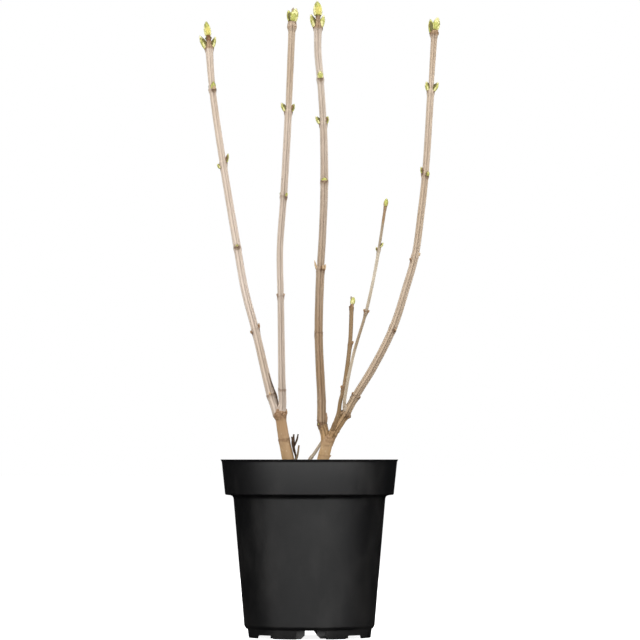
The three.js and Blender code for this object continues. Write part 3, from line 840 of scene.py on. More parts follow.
NECK = {"longer_than": 0.02, "part": 0.25, "length": 1.25, "width": 0.78, "lift": 0.0006}
FAT = 0.007  # a bud wider than this has one more pair of scales
FLAT_SEAT = math.radians(8)  # buds that lean less stand on the wood's end, not on its side
SEAT_DEPTH = 0.45  # how far a side bud sinks into the wood, as a part of its width
CORE = {"width": 0.84, "length": 0.96}  # the bud's heart, within its scales

# A scale reaches wrap radians round each side of the bud. Its keel, thickness, lift and the
# opening of its tip are parts of the bud's width or length. shade_lean is how far a bud
# leans before its side to the wood takes a darker finish, partly painted shade.
SCALE = {"wrap": 1.3, "keel": 0.14, "thickness": 0.07, "lift": 0.022, "closeness": 0.88,
         "tip_edge": 0.86, "side_edge": 0.8, "shade_below": -0.12, "shade_lean": math.radians(15),
         "shortest": 0.4, "next_foot": 0.03}


def bud_seat(limb, grown):
    """The bud's own frame: Z along it, Y away from the wood, X to its side."""
    place, heading, right, back = limb.path.frame_at(limb.path.stops[grown.at] + grown.slide)
    outward = right * math.cos(grown.side) + back * math.sin(grown.side)
    aim = (heading * math.cos(grown.lean) + outward * math.sin(grown.lean)).normalized()
    if grown.lean > FLAT_SEAT:
        place = place + outward * max(limb.joints[grown.at].knuckle / 2 - grown.width * SEAT_DEPTH, 0)
    away = (outward - aim * outward.dot(aim)).normalized()
    return Matrix.Translation(place) @ Matrix((away.cross(aim), away, aim)).transposed().to_4x4()


def bud_radius(part, width):
    """The radius of a bud at a part of its length."""
    return float(np.interp(part, *zip(*BUD_PROFILE))) * width / 2


def add_shaped_ball(bm, seat, sides, rings, shape, finish_of):
    """A ball of sides and rings whose corners are moved by shape(part, across, out),
    with part from 0 at its foot to 1 at its tip, and across and out round it."""
    made = bmesh.ops.create_uvsphere(bm, u_segments=sides, v_segments=rings, radius=1)["verts"]
    homes = {}
    for corner in made:
        x, y, z = corner.co
        round_it = math.hypot(x, y)
        part = (z + 1) / 2
        across, out = (x / round_it, y / round_it) if round_it > 1e-4 else (0.0, 0.0)
        homes[corner] = (part, across)
        corner.co = seat @ shape(part, across, out)
    for face in {face for corner in made for face in corner.link_faces}:
        parts, acrosses = zip(*(homes[corner] for corner in face.verts))
        face.material_index = finish_of(sum(parts) / len(parts), sum(acrosses) / len(acrosses))


def add_scale(bm, seat, bud_size, turn, span, lift, opening, skins):
    """One bud scale: pointed, keeled, wrapped round the bud and a little open at its tip.
    skins are its finishes: on its face, on its edge, and where it faces the wood, a darker one
    that is partly painted shade."""
    length, width = bud_size
    foot, tip = span
    thickness = SCALE["thickness"] * width

    def shape(part, across, out):
        height = foot + part * (tip - foot)
        narrowing = max(1 - part ** 2.2, 0.0) ** 0.9 * min(1.0, 0.5 + 3 * part)
        angle = turn + across * narrowing * SCALE["wrap"]
        keel = 1 + SCALE["keel"] * (1 - abs(across)) ** 1.5 * (1 - 0.6 * part)
        shell = thickness * (0.2 + 0.8 * (1 - part)) * out / 2
        radius = bud_radius(height, width) * SCALE["closeness"] * keel + shell
        radius += lift * (1 - 0.7 * part) + opening * length * part ** 3
        return Vector((radius * math.cos(angle), radius * math.sin(angle), height * length))

    def finish_of(part, across):
        # the side that faces the wood takes a darker finish: partly the scales' own colour, partly painted
        # shade
        if math.sin(turn + across * SCALE["wrap"]) < SCALE["shade_below"]:
            return skins[2]
        return skins[1] if part > SCALE["tip_edge"] or abs(across) > SCALE["side_edge"] else skins[0]

    add_shaped_ball(bm, seat, 12, 9, shape, finish_of)


def add_neck(bm, seat, grown, rng):
    """The knobbly foot of a long end bud: short dry scales in pairs, with dark gaps."""
    length = grown.length * NECK["part"] * NECK["length"]
    width = grown.width * NECK["width"]
    brown, olive, yellow = (BUD_FINISHES.index(name) for name in ("bud_brown", "bud_olive", "bud_yellow"))

    def core(part, across, out):
        radius = width / 2 * (1 - 0.25 * part)
        return Vector((radius * across, radius * out, (part * 1.1 - 0.08) * length))

    add_shaped_ball(bm, seat, 12, 8, core, lambda part, across: brown)
    for row in range(3):
        for half in (0, 1):
            turn = (row + 2 * half) * QUARTER + rng.uniform(-0.2, 0.2)
            skin = yellow if (row, half) == (2, 1) else (brown, olive)[row % 2]
            low = 0.1 + 0.24 * row
            add_scale(bm, seat, (length, width * 1.15), turn, (low, low + 0.5), NECK["lift"], 0.0,
                      (skin, brown, skin))


def add_bud(bm, limb, grown, rng):
    """A bud of opposite pairs of scales, each pair a quarter turn from the next."""
    habit = BUD_HABITS[grown.kind]
    seat = bud_seat(limb, grown)
    length = grown.length
    fat = grown.width > FAT
    if fat and length > NECK["longer_than"] and grown is limb.tip:
        add_neck(bm, seat, grown, rng)
        seat = seat @ Matrix.Translation((0, 0, length * NECK["part"]))
        length *= 1 - NECK["part"]
    pairs = habit.pairs + fat
    skins = [BUD_FINISHES.index(name) for name in habit.skins]
    rim = BUD_FINISHES.index(habit.rim)

    def core(part, across, out):
        radius = bud_radius(part, grown.width) * CORE["width"]
        return Vector((radius * across, radius * out, part * length * CORE["length"]))

    add_shaped_ball(bm, seat, 12, 10, core, lambda part, across: skins[-1])
    for row in range(pairs):
        reach = SCALE["shortest"] + (1 - SCALE["shortest"]) * (row + 1) / pairs
        for half in (0, 1):
            turn = (row + half * 2 + (pairs % 2)) * QUARTER + rng.uniform(-0.12, 0.12)
            span = (SCALE["next_foot"] * row, min(reach + rng.uniform(-0.05, 0.02), 1.0))
            lift = SCALE["lift"] * grown.width * (pairs - 1 - row)
            opening = habit.open * (1 - row / pairs) * rng.uniform(0.4, 1.2)
            skin = skins[min(row, len(skins) - 1)]
            # a bud that leans out gets the darker edge finish on its side to the wood, partly painted
            # shade
            shade = rim if grown.lean > SCALE["shade_lean"] else skin
            add_scale(bm, seat, (length, grown.width), turn, span, lift, opening, (skin, rim, shade))


def add_stub(bm, limb, grown):
    """A short dead stub, or a knob of bark, with an uneven end."""
    finish = BUD_FINISHES.index(DRY_SKINS[grown.kind])

    def shape(part, across, out):
        swell = 1.0 if grown.kind == STUB else math.sin(math.pi * (0.18 + 0.82 * part)) ** 0.6
        around = Vector((across, out, part * grown.length * 400 + grown.side))
        rough = 1 + 0.22 * noise.noise(around * 1.7)
        radius = grown.width / 2 * swell * rough * (1.12 - 0.3 * part)
        slant = 0.08 * grown.length * across if part > 0.6 else 0.0
        return Vector((radius * across, radius * out, part * grown.length + slant * part))

    add_shaped_ball(bm, bud_seat(limb, grown), 14, 16, shape, lambda part, across: finish)


def buds_mesh(limb, seed):
    """Every bud of a limb, joined into one mesh."""
    rng = random.Random(seed)
    bm = bmesh.new()
    for grown in [*limb.buds, *([limb.tip] if limb.tip else [])]:
        if grown.kind in BUD_HABITS:
            add_bud(bm, limb, grown, rng)
        else:
            add_stub(bm, limb, grown)
    return bm


# ------------------------------------------------------------------ pot and soil

def spun(profile, steps):
    """A closed solid turned about the pot's axis from a profile of (radius, height)."""
    bm = bmesh.new()
    corners = [bm.verts.new(POT_AXIS + Vector((radius, 0, height))) for radius, height in profile]
    edges = [bm.edges.new(ends) for ends in zip(corners, corners[1:])]
    bmesh.ops.spin(bm, geom=corners + edges, cent=POT_AXIS, axis=(0, 0, 1), angle=FULL, steps=steps,
                   use_merge=True)
    bmesh.ops.remove_doubles(bm, verts=bm.verts[:], dist=1e-6)
    bmesh.ops.recalc_face_normals(bm, faces=bm.faces[:])
    return bm


def rounded(profile, radii):
    """A profile with the named corners rounded: radii gives a radius by corner number."""
    steps = 4
    points = []
    for number, corner in enumerate(profile):
        here = Vector(corner)
        reach = radii.get(number, 0.0)
        if not reach:
            points.append(tuple(here))
            continue
        before, after = (Vector(profile[number + step]) - here for step in (-1, 1))
        start = here + before.normalized() * min(reach, before.length * 0.45)
        end = here + after.normalized() * min(reach, after.length * 0.45)
        for t in (step / steps for step in range(steps + 1)):
            points.append(tuple(start * (1 - t) ** 2 + here * (2 * t * (1 - t)) + end * t ** 2))
    return points


def block(width, depth, high, centre):
    """A cutter's box, by its width along X, its depth along Y, its top and its middle."""
    bm = bmesh.new()
    bmesh.ops.create_cube(bm, size=1)
    bmesh.ops.scale(bm, vec=(width, depth, high - CUT_BELOW), verts=bm.verts[:])
    bmesh.ops.translate(bm, vec=(*centre, (high + CUT_BELOW) / 2), verts=bm.verts[:])
    return bm


def channel_block(skin, span):
    """A raised channel under the floor, from one side of the foot to the other."""
    foot, knee, top = (CHANNEL[name] / 2 + skin for name in ("foot_width", "knee_width", "top_width"))
    right = [(foot, CUT_BELOW), (foot, 0), (knee, CHANNEL["knee_height"]), (top, CHANNEL["height"] + skin)]
    section = [(-foot, CUT_BELOW), *right, *((-x, z) for x, z in right[:0:-1])]
    bm = bmesh.new()
    face = bm.faces.new([bm.verts.new((x, -span / 2, z)) for x, z in section])
    made = bmesh.ops.extrude_face_region(bm, geom=[face])["geom"]
    moved = [item for item in made if isinstance(item, bmesh.types.BMVert)]
    bmesh.ops.translate(bm, vec=(0, span, 0), verts=moved)
    bmesh.ops.recalc_face_normals(bm, faces=bm.faces[:])
    return bm


def turned_to(bm, angle, away=(0, 0, 0)):
    """A cutter moved away from the pot's axis and turned about it, off square as the foot is."""
    turn = Matrix.Rotation(angle + POT_TURN, 4, "Z")
    place = Matrix.Translation(POT_AXIS) @ turn @ Matrix.Translation(away)
    bmesh.ops.transform(bm, matrix=place, verts=bm.verts[:])
    return bm


def foot_cutters(skin):
    """The channels and notches under the floor, grown by a skin on every side."""
    span = 2 * BODY["bottom_radius"]
    cutters = [turned_to(channel_block(skin, span), angle) for angle in (0.0, QUARTER)]
    for quarter in range(4):
        for notch, offset in ((WIDE_NOTCH, 0.0), (SMALL_NOTCH, QUARTER / 2)):
            inner = FOOT["radius"] - notch["depth"] - skin
            depth = BODY["bottom_radius"] + 0.001 - inner
            bm = block(notch["width"] + 2 * skin, depth, notch["height"] + skin, (0, inner + depth / 2))
            cutters.append(turned_to(bm, quarter * QUARTER + offset))
        bm = block(GROOVE["width"] + 2 * skin, span, GROOVE["height"] + skin, (GROOVE["from_axis"], 0))
        cutters.append(turned_to(bm, quarter * QUARTER - POT_TURN))
    return cutters


def drain_cutters():
    """The four drain holes, one in the top of each channel's arm."""
    cutters = []
    for quarter in range(4):
        bm = bmesh.new()
        bmesh.ops.create_cone(bm, cap_ends=True, segments=DRAIN["segments"], radius1=DRAIN["radius"],
                              radius2=DRAIN["radius"], depth=DRAIN["depth"])
        cutters.append(turned_to(bm, quarter * QUARTER, (DRAIN["from_axis"], 0, CHANNEL["height"])))
    return cutters


def new_object(name, bm):
    """A bmesh as an object in the scene, at the origin."""
    mesh = bpy.data.meshes.new(name)
    bm.to_mesh(mesh)
    bm.free()
    made = bpy.data.objects.new(name, mesh)
    bpy.context.scene.collection.objects.link(made)
    return made


def cut_away(bm, cutters):
    """The mesh with every cutter taken out of it, one after the other."""
    body = new_object("body", bm)
    tools = [new_object("tool", cutter) for cutter in cutters]
    for tool in tools:
        cut = body.modifiers.new("cut", "BOOLEAN")
        cut.operation = "DIFFERENCE"
        cut.solver = "MANIFOLD"
        cut.object = tool
    bpy.context.view_layer.update()
    evaluated = body.evaluated_get(bpy.context.evaluated_depsgraph_get())
    result = bmesh.new()
    result.from_mesh(evaluated.to_mesh())
    evaluated.to_mesh_clear()
    for used in [body, *tools]:
        mesh = used.data
        bpy.data.objects.remove(used)
        bpy.data.meshes.remove(mesh)
    return result


def pot_profile():
    """The outside of the pot from the middle of its floor to its lip."""
    points = [
        (0, 0), (FOOT["radius"], 0), (FOOT["top_radius"], FOOT["height"]),
        (BODY["bottom_radius"], BODY["bottom"]), (BODY["top_radius"], BODY["top"]),
        (COLLAR["bottom_radius"], COLLAR["bottom"]), (COLLAR["top_radius"], COLLAR["top"]),
        (LIP_RADIUS, LIP["bottom"]), (LIP_RADIUS, POT_HEIGHT), (LIP_RADIUS - LIP["width"], POT_HEIGHT),
        (0, POT_HEIGHT),
    ]
    return rounded(points, {1: 0.0007, 2: 0.0008, 3: 0.0011, 4: 0.0036, 5: 0.0012, 6: 0.0006, 7: 0.0003,
                            8: 0.0003})


def room_profile(gap):
    """The room inside the pot's wall, drawn in by a gap for what fills it."""
    skin = POT_WALL + gap
    top = POT_HEIGHT + 0.005
    points = [
        (0, skin), (FOOT["radius"] - skin, skin), (FOOT["top_radius"] - skin, FOOT["height"]),
        (BODY["bottom_radius"] - skin, BODY["bottom"] + skin),
        (BODY["top_radius"] - skin, BODY["top"] + skin),
        (COLLAR["bottom_radius"] - skin, COLLAR["bottom"] + skin),
        (COLLAR["top_radius"] - skin, COLLAR["top"] - 0.0008), (COLLAR["top_radius"] - skin + 0.0006, top),
        (0, top),
    ]
    return rounded(points, {1: 0.002, 3: 0.001, 4: 0.0016, 5: 0.0012})


def pot_mesh(segments):
    """A thin-walled pot: turned, then its channels, notches and drain holes cut."""
    room = cut_away(spun(room_profile(0.0), segments), foot_cutters(POT_WALL))
    return cut_away(spun(pot_profile(), segments), [*foot_cutters(0.0), room, *drain_cutters()])


SOIL = {"gap": 0.0003, "sunk": 0.0022, "falls": 0.0025, "falls_from": 0.04, "falls_over": 0.045,
        "heap": 0.0022, "heap_width": 0.016, "rings": 46, "skin": 0.006, "segments": 144}
SOIL_LUMPS = ((0.0011, 45, 3), (0.0007, 160, 8))  # as (height, fineness, where in the noise)
SOIL_FINISHES = ("soil", "soil_crumb", "soil_bark", "soil_fibre")
# What lies in the soil, as (share, finish, smallest, largest, how it is squashed).
SOIL_BITS = (
    (0.8, "soil_crumb", 0.0006, 0.0019, (1, 0.85, 0.7)),
    (0.12, "soil_bark", 0.0012, 0.003, (1.5, 0.8, 0.3)),
    (0.08, "soil_fibre", 0.0016, 0.004, (1.7, 0.09, 0.1)),
)


def soil_height(x, y):
    """The soil's surface from the pot's axis: uneven, and heaped a little at the stems."""
    fall = float(smooth((math.hypot(x, y) - SOIL["falls_from"]) / SOIL["falls_over"]))
    level = SOIL_LEVEL - SOIL["sunk"] - SOIL["falls"] * fall
    for height, fine, where in SOIL_LUMPS:
        level += height * noise.noise(Vector((x * fine, y * fine, where)))
    for stem in STEMS.values():
        foot = stem["joints"][1].at
        away = (x - foot.x) ** 2 + (y - foot.y) ** 2
        level += SOIL["heap"] * math.exp(-away / SOIL["heap_width"] ** 2)
    return level


def soil_bed_mesh():
    """The bed of soil, from above the channels up to its rough surface."""
    inner = {round(height, 5): radius for radius, height in room_profile(SOIL["gap"])}
    heights = sorted(height for height in inner if BODY["bottom"] < height < SOIL_LEVEL - SOIL["skin"])
    rim = float(np.interp(SOIL_LEVEL, *zip(*sorted(inner.items()))))
    rings = [(rim * (1 - step / SOIL["rings"]) ** 0.9, SOIL_LEVEL) for step in range(SOIL["rings"])]
    profile = [(0, heights[0]), *((inner[height], height) for height in heights), *rings, (0, SOIL_LEVEL)]
    bm = spun(profile, SOIL["segments"])
    for corner in bm.verts:
        if corner.co.z > SOIL_LEVEL - 0.001:
            corner.co.z = soil_height(corner.co.x - POT_AXIS.x, corner.co.y - POT_AXIS.y)
    return bm


def add_crumb(bm, rng, place, size, squash, finish):
    """One crumb or chip lying in the soil, turned at random and a little rough."""
    made = bmesh.ops.create_icosphere(bm, subdivisions=1, radius=size)["verts"]
    turn = Matrix.Rotation(rng.uniform(0, FULL), 4, "Z") @ Matrix.Rotation(rng.gauss(0, 0.3), 4, "X")
    for corner in made:
        corner.co *= rng.uniform(0.72, 1.15)
    placing = Matrix.Translation(place) @ turn @ Matrix.Diagonal((*squash, 1))
    bmesh.ops.transform(bm, matrix=placing, verts=made)
    for face in {face for corner in made for face in corner.link_faces}:
        face.material_index = finish


def soil_litter_mesh(count, seed):
    """Crumbs of peat, chips of bark and short fibres, half sunk in the soil's surface."""
    rng = random.Random(seed)
    bm = bmesh.new()
    reach = COLLAR["bottom_radius"] - POT_WALL - 0.002
    for share, name, low, high, squash in SOIL_BITS:
        for _ in range(int(count * share)):
            away = (reach - high * squash[0]) * math.sqrt(rng.random())
            turn = rng.uniform(0, FULL)
            x, y = away * math.cos(turn), away * math.sin(turn)
            size = low + (high - low) * rng.random() ** 2.2
            height = soil_height(x, y) + size * squash[2] * rng.uniform(0.0, 0.7)
            add_crumb(bm, rng, POT_AXIS + Vector((x, y, height)), size, squash, SOIL_FINISHES.index(name))
    return bm


# ------------------------------------------------------------------ making pieces

def joined(meshes):
    """Several bmeshes as one."""
    whole = bmesh.new()
    for bm in meshes:
        carrier = bpy.data.meshes.new("carrier")
        bm.to_mesh(carrier)
        bm.free()
        whole.from_mesh(carrier)
        bpy.data.meshes.remove(carrier)
    return whole


def make_piece(name, bm, finishes, nodes, crease=None):
    """A finished piece: smooth, riding on the plant, and standing for its CAD nodes."""
    for face in bm.faces:
        face.smooth = True
    for edge in bm.edges if crease else ():
        if edge.is_manifold:
            edge.smooth = edge.calc_face_angle(0) < crease
    piece = new_object(name, bm)
    for finish in finishes:
        piece.data.materials.append(finish)
    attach(piece, "root")
    if nodes:
        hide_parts(*nodes)
    return piece


# ------------------------------------------------------------------ finishes

def tint(*rgb):
    """A colour as a screen shows it, 0 to 255, for a colour setting."""
    return tuple(value / 255 / 12.92 if value < 11 else ((value / 255 + 0.055) / 1.055) ** 2.4
                 for value in rgb)


def full(colour, shade=1.0):
    """A colour setting for a socket, darkened by a share where one is given."""
    return (*(value * shade for value in colour), 1.0)


class Nodes:
    """A node tree, with short ways to add the nodes that the finishes share."""

    def __init__(self, tree):
        self.tree = tree

    def add(self, kind, inputs, **settings):
        """A node with its settings made and its inputs linked or set."""
        node = self.tree.nodes.new(kind)
        for name, value in settings.items():
            setattr(node, name, value)
        for name, value in inputs.items():
            if isinstance(value, bpy.types.NodeSocket):
                self.tree.links.new(value, node.inputs[name])
            else:
                node.inputs[name].default_value = value
        return node

    def mixed(self, share, first, second):
        """Two colours mixed by a share of the second."""
        return self.add("ShaderNodeMix", {0: share, 6: first, 7: second}, data_type="RGBA").outputs[2]

    def shaded(self, colour, value, saturation):
        inputs = {"Value": value, "Saturation": saturation, "Color": colour}
        return self.add("ShaderNodeHueSaturation", inputs).outputs[0]

    def times(self, first, second):
        return self.add("ShaderNodeMath", {0: first, 1: second}, operation="MULTIPLY").outputs[0]

    def plus(self, first, second):
        return self.add("ShaderNodeMath", {0: first, 1: second}, operation="ADD").outputs[0]

    def spread(self, value, low, high, to_low=0.0, to_high=1.0):
        """A value stretched from one range to another and kept within it."""
        inputs = {"Value": value, "From Min": low, "From Max": high, "To Min": to_low, "To Max": to_high}
        return self.add("ShaderNodeMapRange", inputs).outputs["Result"]

    def cloud(self, place, scale, detail, roughness):
        """Soft noise over a place, 0 to 1."""
        inputs = {"Vector": place, "Scale": scale, "Detail": detail, "Roughness": roughness}
        return self.add("ShaderNodeTexNoise", inputs).outputs["Fac"]

    def squeezed(self, place, along):
        """A place stretched or squeezed along its Z."""
        inputs = {0: place, 1: (1, 1, along)}
        return self.add("ShaderNodeVectorMath", inputs, operation="MULTIPLY").outputs["Vector"]

    def blots(self, place, along, scale, detail, roughness, low, high):
        """Soft noise over a squeezed place, sharpened between a low and a high value."""
        return self.spread(self.cloud(self.squeezed(place, along), scale, detail, roughness), low, high)

    def attribute(self, name, output="Fac"):
        return self.add("ShaderNodeAttribute", {}, attribute_name=name).outputs[output]

    def effect(self, name, place, **inputs):
        """The outputs of a shared node group, placed here with its own inputs."""
        node = self.add("ShaderNodeGroup", {"Place": place, **inputs}, node_tree=effect_group(name))
        return node.outputs

    def finish(self, shader, colour, roughness, height, distance, strength):
        """Links a colour, a roughness and a bump to the tree's shader."""
        bump = self.add("ShaderNodeBump", {"Height": height, "Strength": strength, "Distance": distance})
        for name, value in (("Base Color", colour), ("Roughness", roughness), ("Normal", bump.outputs[0])):
            self.tree.links.new(value, shader.inputs[name])


def bark_grain(t, place):
    """Lengthwise streaks, blotches, small warts and wide patches, from a place along a limb."""
    patches = t.blots(place, 0.4, 70.0, 2.0, 0.5, 0.38, 0.62)
    streaks = t.blots(place, 0.05, 900.0, 4.0, 0.6, 0.36, 0.64)
    blotches = t.blots(place, 0.3, 130.0, 4.0, 0.6, 0.34, 0.66)
    warty = {"Vector": t.squeezed(place, 0.55), "Scale": 260.0, "Randomness": 1.0}
    cells = t.add("ShaderNodeTexVoronoi", warty)
    warts = t.spread(cells.outputs["Distance"], 0.2, 0.12)
    fine = t.cloud(t.squeezed(place, 0.4), 2400.0, 3.0, 0.6)
    height = t.plus(t.plus(t.times(streaks, 0.6), t.times(fine, 0.3)), t.times(warts, 0.5))
    return {"Streaks": streaks, "Blotches": blotches, "Warts": warts, "Patches": patches, "Height": height}


def fine_skin(t, place, scale):
    """A faint mottle and a fine tooth for small smooth things, from a place."""
    mottle = t.spread(t.cloud(place, scale, 3.0, 0.55), 0.35, 0.65)
    return {"Mottle": mottle, "Height": t.cloud(place, 2600.0, 2.0, 0.5)}


def plastic_wear(t, place):
    """Dust, fine scuffs and the faint grain of moulded plastic, from a place on the pot."""
    dust = t.blots(place, 0.5, 28.0, 6.0, 0.68, 0.46, 0.72)
    scuffs = t.blots(place, 6, 210.0, 5.0, 0.7, 0.6, 0.72)
    grain = t.cloud(place, 1500.0, 2.0, 0.5)
    flow = t.cloud(t.squeezed(place, 0.15), 60.0, 2.0, 0.5)
    return {"Dust": dust, "Scuffs": scuffs, "Height": t.plus(t.times(grain, 0.25), flow)}


# What builds each effect, and what it can be given beside a place.
EFFECTS = {
    "bark_grain": (bark_grain, {}),
    "fine_skin": (fine_skin, {"Scale": 500.0}),
    "plastic_wear": (plastic_wear, {}),
}


def effect_group(name):
    """The node group of an effect, made when it is first asked for."""
    if name in bpy.data.node_groups:
        return bpy.data.node_groups[name]
    build, settings = EFFECTS[name]
    group = bpy.data.node_groups.new(name, "ShaderNodeTree")
    new_socket = group.interface.new_socket
    new_socket(name="Place", in_out="INPUT", socket_type="NodeSocketVector")
    for label, value in settings.items():
        new_socket(name=label, in_out="INPUT", socket_type="NodeSocketFloat").default_value = value
    given = group.nodes.new("NodeGroupInput").outputs
    made = build(Nodes(group), *(given[label] for label in ("Place", *settings)))
    for label in made:
        new_socket(name=label, in_out="OUTPUT", socket_type="NodeSocketFloat")
    out = group.nodes.new("NodeGroupOutput")
    for label, value in made.items():
        group.links.new(value, out.inputs[label])
    return group


def new_finish(name, specular):
    """A material, the short ways into its nodes, and its shader."""
    finish = bpy.data.materials.new(name)
    finish.use_nodes = True
    shader = next(node for node in finish.node_tree.nodes if node.type == "BSDF_PRINCIPLED")
    shader.inputs["Specular IOR Level"].default_value = specular
    return finish, Nodes(finish.node_tree), shader


def bark_finish(name, old, young, colours):
    """Bark that runs from an old to a young colour, with the marks of its joints."""
    finish, t, shader = new_finish(name, 0.25)
    grain = t.effect("bark_grain", t.attribute("grain", "Vector"))
    streaks, tone = grain["Streaks"], t.attribute("tone")
    base = t.mixed(tone, full(old), full(young))
    base = t.mixed(t.attribute("aged"), base, full(colours.fork_wood))
    colour = t.mixed(t.spread(streaks, 0.0, 1.0, 0.22, 0.0), base, t.shaded(base, 0.62, 1.15))
    colour = t.mixed(t.times(grain["Blotches"], 0.4), colour, t.shaded(base, 1.13, 0.8))
    golden = t.times(grain["Patches"], t.spread(tone, 0.0, 0.8, 0.4, 0.0))
    colour = t.mixed(golden, colour, t.shaded(colour, 0.97, 1.35))
    colour = t.mixed(t.times(grain["Warts"], 0.3), colour, full(colours.leaf_scar))
    # The stripe colour paints the brown marks at joints and under buds, and the band of painted shade down
    # the front and back of each limb.
    band = t.times(t.attribute("stripe"), t.times(t.spread(streaks, 0.0, 1.0, 1.0, 0.55), 0.85))
    colour = t.mixed(band, colour, full(colours.stripe))
    colour = t.mixed(t.attribute("scar"), colour, full(colours.leaf_scar))
    # The crease colour paints the dark lines round joints and the shade painted in creases, in the hollows
    # above buds and in the corners between limbs.
    colour = t.mixed(t.times(t.attribute("ring"), 0.76), colour, full(colours.crease))
    t.finish(shader, colour, t.spread(streaks, 0.0, 1.0, 0.78, 0.56), grain["Height"], 0.0002, 0.4)
    return finish


def mottled_finish(name, colour, specular, dark, rough, bump, **scale):
    """One mottled colour. dark is how dark the mottle's low is, rough the roughness at its
    low and its high, and bump how deep and how strong the tooth of the skin is."""
    finish, t, shader = new_finish(name, specular)
    place = t.add("ShaderNodeTexCoord", {}).outputs["Object"]
    skin = t.effect("fine_skin", place, **scale)
    mottled = t.mixed(skin["Mottle"], full(colour, dark), full(colour))
    t.finish(shader, mottled, t.spread(skin["Mottle"], 0.0, 1.0, *rough), skin["Height"], *bump)
    return finish


def bud_finish(name, colour):
    """The skin of bud scales, with a soft shine."""
    return mottled_finish(name, colour, 0.4, 0.78, (0.6, 0.42), (0.00015, 0.4))


def soil_finish(name, colour):
    """Damp peat or one of the bits in it, rough."""
    return mottled_finish(name, colour, 0.2, 0.5, (1.0, 0.95), (0.0006, 0.8), Scale=320.0)


def pot_finish(colours):
    """Moulded black plastic with a soft sheen, a little dust and a few scuffs."""
    finish, t, shader = new_finish("moulded_plastic", 0.89)
    wear = t.effect("plastic_wear", t.add("ShaderNodeTexCoord", {}).outputs["Object"])
    colour = t.mixed(t.times(wear["Dust"], 0.05), full(colours.pot), full(colours.pot_dust))
    colour = t.mixed(t.times(wear["Scuffs"], 0.05), colour, full(colours.pot_dust))
    roughness = t.plus(t.spread(wear["Dust"], 0.0, 1.0, 0.4, 0.46), t.times(wear["Scuffs"], 0.08))
    t.finish(shader, colour, roughness, wear["Height"], 0.0004, 0.12)
    return finish


# ------------------------------------------------------------------ settings

def length_setting(name, description, default):
    return bpy.props.FloatProperty(name=name, description=description, default=default, min=0.0,
                                   subtype="DISTANCE", unit="LENGTH", precision=5)


def count_setting(name, description, default, least, most):
    return bpy.props.IntProperty(name=name, description=description, default=default, min=least,
                                 max=most)


def power_setting(name, description, default):
    return bpy.props.FloatProperty(name=name, description=description, default=default, min=0.0,
                                   unit="POWER")


def colour_setting(name, description, *rgb):
    return bpy.props.FloatVectorProperty(name=name, description=description, default=tint(*rgb), size=3,
                                         min=0.0, max=1.0, subtype="COLOR")


class LilacSizes(bpy.types.PropertyGroup):
    """How finely the plant and the pot are made."""

    ring_spacing: length_setting("Ring spacing", "The longest step between two rings of a limb", 0.0011)
    shoot_sides: count_setting("Shoot sides", "How many corners go round a shoot", 34, 8, 96)
    stem_sides: count_setting("Stem sides", "How many corners go round a stem", 52, 8, 128)
    twig_sides: count_setting("Twig sides", "How many corners go round a thin twig", 20, 6, 64)
    relief: bpy.props.FloatProperty(name="Bark relief", description="How uneven the bark is", default=1.0,
                                    min=0.0, max=3.0, subtype="FACTOR")
    pot_segments: count_setting("Pot segments", "How many steps go round the pot", 192, 24, 384)
    soil_bits: count_setting("Bits in the soil", "How many crumbs, chips and fibres it has", 2600, 0, 6000)
    seed: count_setting("Seed", "Starts the chance that turns scales and crumbs", 7, 0, 9999)


